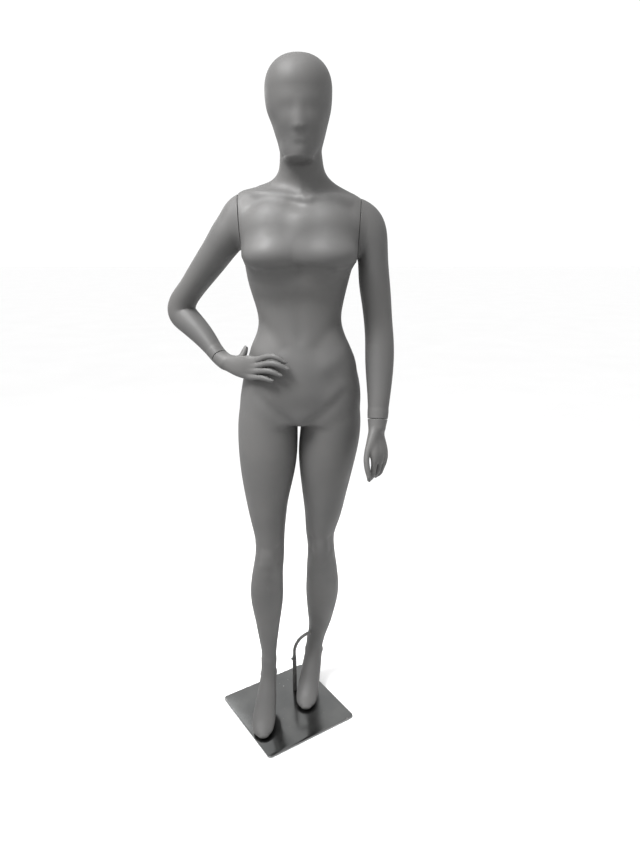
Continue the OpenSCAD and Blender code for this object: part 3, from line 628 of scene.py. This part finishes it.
def arm(side):
    """One arm, blended into the shoulder at its top and into the hand at its wrist."""

    def field(p):
        f = arm_sweeps[side](p)
        high = p[:, 2] > 1265
        if high.any():
            q = p[high]
            # Down the arm the torso fades out of the blend
            away = np.clip((1315 - q[:, 2]) / 40, 0, 1)
            f[high] = smin(f[high], figure(q) + 80 * away**2 * (3 - 2 * away), SHOULDER_BLEND)
        swell(p, f, [elbow[side]], 13, 3.5)
        blend_where(near_wrist(side, p), p, f, palm_sweeps[side], WRIST_BLEND)
        return f

    return field


def hand(side):
    """Palm, four fingers and thumb, blended into the forearm at the wrist."""
    *four, thumb = digits[side]

    def field(p):
        f = palm_sweeps[side](p)
        blend_where(near_wrist(side, p), p, f, arm_sweeps[side], WRIST_BLEND)
        fingers = four[0](p)
        for one in four[1:]:
            fingers = smin(fingers, one(p), 1.6)
        return smin(smin(f, fingers, 7), thumb(p), 8)

    return field


# ---- From field to mesh --------------------------------------------------------------------


def sculpt(field, low, high, voxel):
    """Points and quads of a field's zero surface inside a box."""
    block = 4
    low = np.array(low, float)
    cells = np.ceil((np.array(high, float) - low) / (voxel * block)).astype(int)
    count = cells * block + 1

    def lattice(n, step):
        axes = [low[i] + step * np.arange(n[i]) for i in range(3)]
        return np.stack([g.ravel() for g in np.meshgrid(*axes, indexing="ij")], 1)

    # Only blocks near the surface are sampled finely
    coarse = field(lattice(cells + 1, voxel * block)).reshape(cells + 1)
    reach = voxel * block * 1.9
    corners = [coarse[i:i + cells[0], j:j + cells[1], k:k + cells[2]]
               for i in (0, 1) for j in (0, 1) for k in (0, 1)]
    least = np.minimum.reduce([np.abs(c) for c in corners])
    active = (least < reach) | (np.sign(np.minimum.reduce(corners))
                                != np.sign(np.maximum.reduce(corners)))
    whole = np.full(count, reach)
    sign = np.sign(corners[0]) * reach
    for axis in range(3):
        sign = np.repeat(sign, block, axis)
    whole[:-1, :-1, :-1] = sign
    busy = np.zeros(count, bool)
    for i, j, k in np.argwhere(active):
        busy[i * block:(i + 1) * block + 1, j * block:(j + 1) * block + 1,
             k * block:(k + 1) * block + 1] = True
    at = np.argwhere(busy)
    whole[busy] = field(low + voxel * at)
    grid = openvdb.FloatGrid()
    grid.copyFromArray(np.ascontiguousarray(whole, dtype=np.float32))
    points, quads = grid.convertToQuads(isovalue=0.0)
    return low + voxel * np.array(points, float), np.array(quads, int)


def slope(field, p, h=0.4):
    """A field's gradient by differences 2h apart."""
    g = np.empty_like(p)
    for i in range(3):
        e = np.zeros(3)
        e[i] = h
        g[:, i] = (field(p + e) - field(p - e)) / (2 * h)
    return g


def settle(field, p, turns):
    """Moves points onto the zero surface."""
    for _ in range(turns):
        g = slope(field, p)
        move = (field(p) / np.maximum((g * g).sum(1), 0.04))[:, None] * g
        p = p - np.clip(move, -3, 3)
    return p


def relax(p, quads, normals, turns):
    """Evens out the quads without moving points off the surface."""
    edges = np.vstack([quads[:, [i, (i + 1) % 4]] for i in range(4)])
    count = np.bincount(edges.ravel(), minlength=len(p)).astype(float)
    for _ in range(turns):
        total = np.stack([
            np.bincount(edges[:, 0], p[edges[:, 1], i], len(p))
            + np.bincount(edges[:, 1], p[edges[:, 0], i], len(p)) for i in range(3)], 1)
        step = total / count[:, None] - p
        step -= (step * normals).sum(1)[:, None] * normals
        p = p + 0.6 * step
    return p


def add_object(name, data):
    obj = bpy.data.objects.new(name, data)
    bpy.context.scene.collection.objects.link(obj)
    return obj


def to_mesh(bm, name):
    """Turns a bmesh into a new mesh, and frees it."""
    mesh = bpy.data.meshes.new(name)
    bm.to_mesh(mesh)
    bm.free()
    return mesh


class Shell:
    """A sculpted piece while it is cut and closed, in millimetres."""

    def __init__(self, field, low, high, voxel):
        voxel *= DRAFT
        p, quads = sculpt(field, low, high, voxel)
        p = settle(field, p, 1)
        g = slope(field, p)
        p = relax(p, quads, g / np.linalg.norm(g, axis=1)[:, None], 3)
        p = settle(field, p, 2)
        a, b, c, d = (p[quads[:, i]] for i in range(4))
        volume = (np.cross(b - a, c - a) * a).sum() + (np.cross(c - a, d - a) * a).sum()
        if volume < 0:
            quads = quads[:, ::-1]
        self.field = field
        mesh = bpy.data.meshes.new("sculpt")
        mesh.from_pydata(p.tolist(), [], quads.tolist())
        self.bm = bmesh.new()
        self.bm.from_mesh(mesh)
        bpy.data.meshes.remove(mesh)
        self.hard = self.bm.faces.layers.int.new("hard")
        self.set_normals = {}

    def cut(self, at, out, low_z=-1e9):
        """Removes what lies beyond a plane, above low_z."""
        faces = [f for f in self.bm.faces if f.calc_center_median().z > low_z]
        parts = list(dict.fromkeys(v for f in faces for v in f.verts)) \
            + list(dict.fromkeys(e for f in faces for e in f.edges)) + faces
        bmesh.ops.bisect_plane(
            self.bm, geom=parts, dist=1e-4, plane_co=at, plane_no=out, clear_outer=True)

    def keep_largest(self):
        """Deletes every island of the mesh but its largest."""
        left = dict.fromkeys(self.bm.verts)
        islands = []
        while left:
            seed, _ = left.popitem()
            island, front = [seed], [seed]
            while front:
                v = front.pop()
                for e in v.link_edges:
                    w = e.other_vert(v)
                    if w in left:
                        del left[w]
                        island.append(w)
                        front.append(w)
            islands.append(island)
        islands.sort(key=len)
        for island in islands[:-1]:
            bmesh.ops.delete(self.bm, geom=island, context="VERTS")

    def loops(self):
        """The open rims, each as an ordered list of vertices."""
        open_edges = dict.fromkeys(e for e in self.bm.edges if e.is_boundary)
        found = []
        while open_edges:
            e, _ = open_edges.popitem()
            chain = [e.verts[0], e.verts[1]]
            while True:
                step = next((x for x in chain[-1].link_edges if x in open_edges), None)
                if step is None:
                    break
                del open_edges[step]
                chain.append(step.other_vert(chain[-1]))
            if chain[-1] is chain[0]:
                chain.pop()
            found.append(chain)
        return found

    def rim_at(self, at, out, slack=0.6):
        """The open rim that lies in a plane."""
        at, out = Vector(at), Vector(out)
        for chain in self.loops():
            if all(abs((v.co - at).dot(out)) < slack for v in chain):
                return chain
        raise RuntimeError(f"no rim at {tuple(at)}")

    def strip(self, first, second, hard):
        """Quads between two rings; hard ones keep their flat normals."""
        for i in range(len(first)):
            j = (i + 1) % len(first)
            face = self.bm.faces.new((first[i], first[j], second[j], second[i]))
            face[self.hard] = hard

    def close_flat(self, at, out):
        """Closes a rim where two shells of one body meet face to face."""
        chain = self.rim_at(at, out)
        mid = self.bm.verts.new(sum((v.co for v in chain), Vector()) / len(chain))
        for i, v in enumerate(chain):
            self.bm.faces.new((v, chain[(i + 1) % len(chain)], mid))[self.hard] = 1

    def close_seam(self, at, out, seat, depth=6.0):
        """Rolls a rim over into a flat flange with a round seat for the steel plate."""
        at, out = Vector(at), Vector(out)
        chain = self.rim_at(at - out * (HALF_GAP + LIP), out)
        g = slope(self.field, np.array([v.co[:] for v in chain]))
        skin = [(Vector(n) - out * Vector(n).dot(out)).normalized() for n in g]
        ring = chain
        for k in range(1, 4):
            a = math.radians(30 * k)
            nxt = []
            for v, n in zip(chain, skin):
                co = v.co + out * LIP * math.sin(a) - n * LIP * (1 - math.cos(a))
                w = self.bm.verts.new(co)
                self.set_normals[w] = n * math.cos(a) + out * math.sin(a)
                nxt.append(w)
            self.strip(ring, nxt, 0)
            ring = nxt
        mouth, floor = [], []
        for w in ring:
            way = w.co - at
            way = (way - out * way.dot(out)).normalized()
            mouth.append(self.bm.verts.new(at - out * HALF_GAP + way * seat))
            floor.append(self.bm.verts.new(at - out * (HALF_GAP + depth) + way * seat))
        edge = [self.bm.verts.new(w.co) for w in ring]
        self.strip(edge, mouth, 1)
        self.strip(mouth, floor, 1)
        mid = self.bm.verts.new(at - out * (HALF_GAP + depth))
        for i, v in enumerate(floor):
            self.bm.faces.new((v, floor[(i + 1) % len(floor)], mid))[self.hard] = 1
        bmesh.ops.remove_doubles(self.bm, verts=edge + ring, dist=1e-5)

    def build(self, name, bores):
        """Makes the object, in metres, shaded with the field's own normals."""
        bm = self.bm
        bm.normal_update()
        bmesh.ops.recalc_face_normals(bm, faces=bm.faces[:])
        bm.verts.index_update()
        # A leg has no rolled rim, so boring it loses no set normals
        fixed = {v.index: n for v, n in self.set_normals.items() if v.is_valid}
        obj = add_object(name, to_mesh(bm, name))
        for at, way, radius in bores:
            bore(obj, at, way, radius)
        mesh = obj.data

        def read(items, attribute, per=1, kind=float):
            values = np.empty(len(items) * per, kind)
            items.foreach_get(attribute, values)
            return values.reshape(-1, per) if per > 1 else values

        p = read(mesh.vertices, "co", 3)
        normals = slope(self.field, p, 0.6)
        normals /= np.maximum(np.linalg.norm(normals, axis=1), 1e-9)[:, None]
        for i, n in fixed.items():
            normals[i] = n
        hard = read(mesh.attributes["hard"].data, "value", kind=int)
        centres = read(mesh.polygons, "center", 3)
        for at, way, radius in bores:
            d = centres - np.array(at)
            w = unit(way)
            off = np.linalg.norm(d - np.outer(d @ w, w), axis=1)
            hard[off < radius + 0.02] = 1
        flats = read(mesh.polygons, "normal", 3)
        corner = read(mesh.loops, "vertex_index", kind=int)
        face = np.repeat(np.arange(len(hard)), read(mesh.polygons, "loop_total", kind=int))
        shown = np.where(hard[face][:, None] == 1, flats[face], normals[corner])
        mesh.attributes.remove(mesh.attributes["hard"])
        mesh.vertices.foreach_set("co", (p * MM).ravel())
        mesh.polygons.foreach_set("use_smooth", np.ones(len(hard), bool))
        mesh.update()
        mesh.normals_split_custom_set(shown.tolist())
        return obj


def bore(obj, at, way, radius):
    """Drills a round hole into a sculpted piece, still in millimetres."""
    bm = bmesh.new()
    bmesh.ops.create_cone(bm, cap_ends=True, segments=48, radius1=radius, radius2=radius,
                          depth=120)
    turn = Vector((0, 0, 1)).rotation_difference(Vector(way)).to_matrix().to_4x4()
    bm.transform(Matrix.Translation(Vector(at)) @ turn)
    drill = add_object("drill", to_mesh(bm, "drill"))
    mod = obj.modifiers.new("bore", "BOOLEAN")
    mod.operation = "DIFFERENCE"
    mod.solver = "EXACT"
    mod.object = drill
    shaped = bpy.data.meshes.new_from_object(
        obj.evaluated_get(bpy.context.evaluated_depsgraph_get()))
    obj.modifiers.clear()
    old = obj.data
    obj.data = shaped
    bpy.data.meshes.remove(old)
    bpy.data.objects.remove(drill)


# ---- Materials -----------------------------------------------------------------------------


class Finish:
    """A principled material whose colour, roughness and relief come from noise."""

    def __init__(self, name, metallic=0.0, specular=0.5):
        self.mat = bpy.data.materials.new(name)
        self.mat.use_nodes = True
        self.tree = self.mat.node_tree
        self.shader = self.tree.nodes["Principled BSDF"]
        self.shader.inputs["Metallic"].default_value = metallic
        self.shader.inputs["Specular IOR Level"].default_value = specular
        self.place = self.tree.nodes.new("ShaderNodeTexCoord").outputs["Object"]
        self.relief = None

    def put(self, socket, value):
        """Links a socket to an input, or sets the input to a value."""
        if isinstance(value, bpy.types.NodeSocket):
            self.tree.links.new(value, socket)
        else:
            socket.default_value = value

    def add(self, kind, **inputs):
        """A new node with its inputs filled; a _ stands for the space in an input's name."""
        node = self.tree.nodes.new("ShaderNode" + kind)
        for name, value in inputs.items():
            self.put(node.inputs[name.replace("_", " ")], value)
        return node

    def noise(self, scale, detail, stretch=None):
        place = self.place
        if stretch:
            place = self.add("Mapping", Scale=stretch, Vector=place).outputs["Vector"]
        return self.add("TexNoise", Scale=scale, Detail=detail, Vector=place).outputs["Fac"]

    def ramp(self, source, low, high, dark, light):
        node = self.add("ValToRGB", Fac=source)
        for stop, at, tone in zip(node.color_ramp.elements, (low, high), (dark, light)):
            stop.position = at
            stop.color = (*tone, 1)
        return node.outputs["Color"]

    def mix(self, amount, a, b):
        node = self.add("Mix")
        node.data_type = "RGBA"
        for i, value in ((0, amount), (6, a), (7, b)):     # the colour mix's sockets
            self.put(node.inputs[i], value)
        return node.outputs[2]

    def colour(self, source):
        self.put(self.shader.inputs["Base Color"], source)

    def roughness(self, source, low, high, lo_in=0.3, hi_in=0.7):
        node = self.add("MapRange", Value=source, From_Min=lo_in, From_Max=hi_in,
                        To_Min=low, To_Max=high)
        self.put(self.shader.inputs["Roughness"], node.outputs["Result"])

    def bump(self, source, distance, strength):
        """Adds relief on top of what is there."""
        node = self.add("Bump", Height=source, Distance=distance, Strength=strength)
        if self.relief is not None:
            self.put(node.inputs["Normal"], self.relief)
        self.relief = node.outputs["Normal"]
        self.put(self.shader.inputs["Normal"], self.relief)


def grey(value, warm=0.0):
    return (value * (1 + warm), value, value * (1 - warm))


def painted(name, value):
    """Matte sprayed paint: orange peel, faint cloudiness, dust and rubbed high spots."""
    m = Finish(name, specular=0.32)
    cloud = m.ramp(m.noise(7, 4), 0.35, 0.65, grey(value * 0.95, 0.01), grey(value * 1.04, 0.02))
    scuff = m.ramp(m.noise(38, 6, (1, 1, 0.35)), 0.66, 0.76, (0, 0, 0), (1, 1, 1))
    rubbed = m.mix(0.07, cloud, (value * 1.9, value * 1.9, value * 1.86, 1))
    tone = m.mix(scuff, cloud, rubbed)
    point = m.tree.nodes.new("ShaderNodeNewGeometry").outputs["Pointiness"]
    worn = m.ramp(point, 0.56, 0.66, (0, 0, 0), (0.35, 0.35, 0.35))
    m.colour(m.mix(worn, tone, (value * 1.45, value * 1.45, value * 1.4, 1)))
    m.roughness(m.noise(24, 5), 0.50, 0.64)
    m.bump(m.noise(55, 2), 0.00025, 0.35)
    m.bump(m.noise(1100, 2), 0.00006, 0.5)
    return m.mat


def polished_steel(name):
    """Mirror-polished plate with fine wipe marks, smudges and a few bright specks that are dust and painted
    glints.
    """
    m = Finish(name, metallic=1.0)
    tone = m.ramp(m.noise(9, 5), 0.3, 0.7, (0.125, 0.128, 0.128), (0.165, 0.167, 0.165))
    # Dust and painted glints: a few tiny bright specks painted into the plate's colour
    dust_and_glint_speck = m.ramp(m.noise(160, 1), 0.78, 0.80, (0, 0, 0), (1, 1, 1))
    m.colour(m.mix(dust_and_glint_speck, tone, (0.6, 0.6, 0.58, 1)))
    m.roughness(m.noise(14, 6), 0.13, 0.26, 0.35, 0.75)
    m.bump(m.noise(90, 4, (1, 14, 1)), 0.00002, 0.25)
    m.bump(m.noise(5, 2), 0.0004, 0.12)
    return m.mat


def drawn_steel(name, value):
    """Dark bar and tube stock: drawing lines along the rod, darker stains."""
    m = Finish(name, metallic=0.6, specular=0.35)
    m.colour(m.ramp(m.noise(120, 6), 0.3, 0.75, grey(value * 0.75, 0.03), grey(value * 1.2, 0.01)))
    m.roughness(m.noise(300, 4, (1, 1, 0.15)), 0.34, 0.5)
    m.bump(m.noise(900, 3, (1, 1, 0.06)), 0.00004, 0.5)
    return m.mat


def zinc(name):
    """Zinc plate: pale, with spangle-like clouding and a turned grain."""
    m = Finish(name, metallic=1.0)
    m.colour(m.ramp(m.noise(220, 5), 0.35, 0.7, (0.42, 0.43, 0.45), (0.62, 0.62, 0.60)))
    m.roughness(m.noise(500, 3), 0.24, 0.42)
    m.bump(m.noise(1500, 2), 0.00004, 0.4)
    return m.mat


def timber(name):
    """Raw plywood: grain stretched along Y with darker pores."""
    m = Finish(name, specular=0.3)
    grain = m.noise(90, 6, (1, 0.08, 1))
    m.colour(m.ramp(grain, 0.35, 0.65, (0.30, 0.17, 0.08), (0.56, 0.38, 0.20)))
    m.roughness(m.noise(200, 4), 0.55, 0.8)
    m.bump(grain, 0.0003, 0.5)
    return m.mat


def foam(name):
    """Black closed-cell foam sheet."""
    m = Finish(name, specular=0.2)
    m.colour(m.ramp(m.noise(700, 3), 0.3, 0.7, grey(0.012), grey(0.035)))
    m.roughness(m.noise(300, 3), 0.8, 0.95)
    m.bump(m.noise(1800, 2), 0.0002, 0.8)
    return m.mat


PAINT, DARK_STEEL = 0.074, 0.11     # linear tones
finishes = {
    "grey_fibreglass": painted("grey_fibreglass_paint", PAINT),
    "grey_resin": painted("grey_resin_paint", PAINT * 1.04),
    "polished_steel": polished_steel("polished_steel_plate"),
    "dark_steel": drawn_steel("dark_drawn_steel", DARK_STEEL),
    "zinc_steel": zinc("zinc_plated_steel"),
    "timber": timber("raw_timber"),
    "foam_pad": foam("black_foam"),
}
for row in frame["record"]["subparts"]:
    node = nodes[row["node"]]
    # The sleeve's rim shows at the calf, where the photo has no bright ring
    slot = "dark_steel" if row["node"] == "calf_sleeve" else row["material_slot"]
    node.data.materials.clear()
    node.data.materials.append(finishes[slot])

# ---- Pieces --------------------------------------------------------------------------------


def place(obj, body, node, slot):
    """Says which body a piece rides on, and which node and finish it stands for."""
    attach(obj, body)
    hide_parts(node)
    obj.data.materials.append(finishes[slot])


def make_shell(name, body, node, slot, field, box, voxel, flats=(), seams=(), low_z=-1e9,
               bores=()):
    """Sculpts a piece, cuts it at its flat ends and seams, and closes them."""
    s = Shell(field, *box, voxel)
    for at, out in flats:
        s.cut(at, out)
    for at, out, _ in seams:
        s.cut(at - out * (HALF_GAP + LIP), out, low_z)
    s.keep_largest()
    for at, out in flats:
        s.close_flat(at, out)
    for at, out, seat in seams:
        s.close_seam(at, out, seat)
    place(s.build(name, bores), body, node, slot)


NECK, HIPS = (0, 0, NECK_Z), (0, 0, HIP_Z)
UP, DOWN = (0, 0, 1), (0, 0, -1)


def make_head():
    make_shell("head", "figure", "head_shell", "grey_fibreglass", figure,
               ((-42, -82, NECK_Z - 9), (140, 140, 1796)), HEAD_VOXEL, [(NECK, DOWN)])


def make_torso():
    """The seams' planes end at the armpits, above low_z, so they leave the hips alone."""
    make_shell("torso", "figure", "torso_shell", "grey_fibreglass", torso_with_stubs,
               ((-150, -120, HIP_Z - 10), (250, 190, NECK_Z + 10)), TORSO_VOXEL,
               [(NECK, UP), (HIPS, DOWN)],
               [(RIGHT_SHOULDER, RIGHT_OUT, SHOULDER_SEAT),
                (LEFT_SHOULDER, LEFT_OUT, SHOULDER_SEAT)], low_z=1262)


def make_leg(side, low, high, bores=()):
    make_shell(side + "_leg", "figure", side + "_leg_shell", "grey_fibreglass", one_leg(side),
               (low, high), LEG_VOXEL, [(HIPS, UP)], bores=bores)


def make_arm(side, low, high, shoulder, out, wrist, fore):
    make_shell(side + "_arm", side + "_arm", side + "_arm_shell", "grey_fibreglass", arm(side),
               (low, high), ARM_VOXEL,
               seams=[(shoulder, -out, SHOULDER_SEAT), (wrist, fore, BUSH_SEAT)])


def make_hand(side, low, high, wrist, fore):
    make_shell(side + "_hand_skin", side + "_hand", side + "_hand", "grey_resin", hand(side),
               (low, high), HAND_VOXEL, seams=[(wrist, -fore, SOCKET_SEAT)])


def make_plate():
    """The base plate: a square with round corners and a softened edge all round."""
    low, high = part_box("base_plate")
    side, corner, edge, steps = 290.0, 12.0, 0.8, 10
    turn = math.radians(32.8)
    profile = []
    for z, up, angles in ((low.z / MM + edge, -1, (0, 30, 60, 90)),
                          (high.z / MM - edge, 1, (90, 60, 30, 0))):
        for c in map(math.radians, angles):
            profile.append((edge * (1 - math.sin(c)), z + up * edge * math.cos(c)))
    bm = bmesh.new()
    rings = []
    reach = side / 2 - corner
    for inset, z in profile:
        ring = []
        r = corner - inset
        for q, (sx, sy) in enumerate(((1, 1), (-1, 1), (-1, -1), (1, -1))):
            for k in range(steps + 1):
                a = math.radians(90 * (q + k / steps))
                x, y = sx * reach + r * math.cos(a), sy * reach + r * math.sin(a)
                ring.append(bm.verts.new((
                    MM * (x * math.cos(turn) - y * math.sin(turn)),
                    MM * (x * math.sin(turn) + y * math.cos(turn)), MM * z)))
        rings.append(ring)
    for first, second in zip(rings[:-1], rings[1:]):
        for i in range(len(first)):
            j = (i + 1) % len(first)
            bm.faces.new((first[i], first[j], second[j], second[i]))
    bm.faces.new(rings[0][::-1])
    bm.faces.new(rings[-1])
    bmesh.ops.recalc_face_normals(bm, faces=bm.faces[:])
    mesh = to_mesh(bm, "plate")
    mesh.polygons.foreach_set("use_smooth", [len(f.vertices) == 4 for f in mesh.polygons])
    mesh.set_sharp_from_angle(angle=math.radians(50))
    place(add_object("polished_plate", mesh), "base", "base_plate", "polished_steel")


sleeve_low, sleeve_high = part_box("calf_sleeve")
sleeve_way = Vector(joints["figure_lift_off"]["axis"])
# The drill starts off the sleeve's middle, so that it enters from the rod's side only
drill_at = (sleeve_low + sleeve_high) / 2 / MM - sleeve_way * 42

make_head()
make_torso()
make_leg("right", (-136, -150, 0), (47, 180, HIP_Z + 12))
make_leg("left", (14, -50, 0), (222, 200, HIP_Z + 12),
         [(drill_at, sleeve_way, SLEEVE_BORE)])
make_arm("right", (-330, -20, 1040), (-80, 175, 1500), RIGHT_SHOULDER, RIGHT_OUT,
         RIGHT_WRIST, RIGHT_FORE)
make_arm("left", (170, -60, 890), (310, 120, 1490), LEFT_SHOULDER, LEFT_OUT,
         LEFT_WRIST, LEFT_FORE)
make_hand("right", (-190, -88, 1010), (32, 84, 1124), RIGHT_WRIST, RIGHT_FORE)
make_hand("left", (205, -94, 745), (284, 26, 940), LEFT_WRIST, LEFT_FORE)
make_plate()

# ---- Studio --------------------------------------------------------------------------------


def make_floor():
    bm = bmesh.new()
    bmesh.ops.create_grid(bm, x_segments=2, y_segments=2, size=30)
    floor = add_object("floor", to_mesh(bm, "floor"))
    m = Finish("pale_floor", specular=0.2)
    m.colour(m.ramp(m.noise(2, 3), 0.3, 0.7, grey(0.93), grey(0.95)))
    m.roughness(m.noise(3, 3), 0.7, 0.8)
    floor.data.materials.append(m.mat)


def area_light(name, place_at, aim, size, watts, spread=180):
    """A soft box from one place towards another, out of the camera's sight."""
    data = bpy.data.lights.new(name, "AREA")
    data.shape = "RECTANGLE"
    data.size, data.size_y = size
    data.energy = watts
    data.spread = math.radians(spread)
    lamp = add_object(name, data)
    lamp.location = place_at
    lamp.rotation_euler = (Vector(aim) - Vector(place_at)).to_track_quat("-Z", "Y").to_euler()
    lamp.visible_camera = False


def make_camera():
    """The photograph's viewpoint: in front at chest height, looking down."""
    look_down, turn = 16.56, -0.956
    data = bpy.data.cameras.new("camera")
    data.lens = 26.97
    data.sensor_width = 36
    cam = add_object("camera", data)
    cam.location = (0.072, -1.623, 1.376)
    cam.rotation_euler = (math.radians(90 - look_down), 0, math.radians(turn))
    bpy.context.scene.camera = cam


make_floor()
area_light("gridded_key", (-0.75, -0.65, 2.65), (-0.05, -0.05, 1.15), (1.0, 1.0), 10.5, 44)
area_light("overhead_fill", (-0.2, -0.1, 3.3), (0.0, 0.02, 1.2), (1.4, 1.4), 8)
area_light("back_panel", (-1.55, 2.6, 2.2), (-0.3, 0.1, 0.1), (0.9, 0.9), 9)
world = bpy.data.worlds.new("studio")
world.use_nodes = True
world.node_tree.nodes["Background"].inputs["Color"].default_value = (1.0, 1.0, 1.0, 1)
world.node_tree.nodes["Background"].inputs["Strength"].default_value = 1.05
bpy.context.scene.world = world
bpy.context.scene.view_settings.view_transform = "Standard"
make_camera()
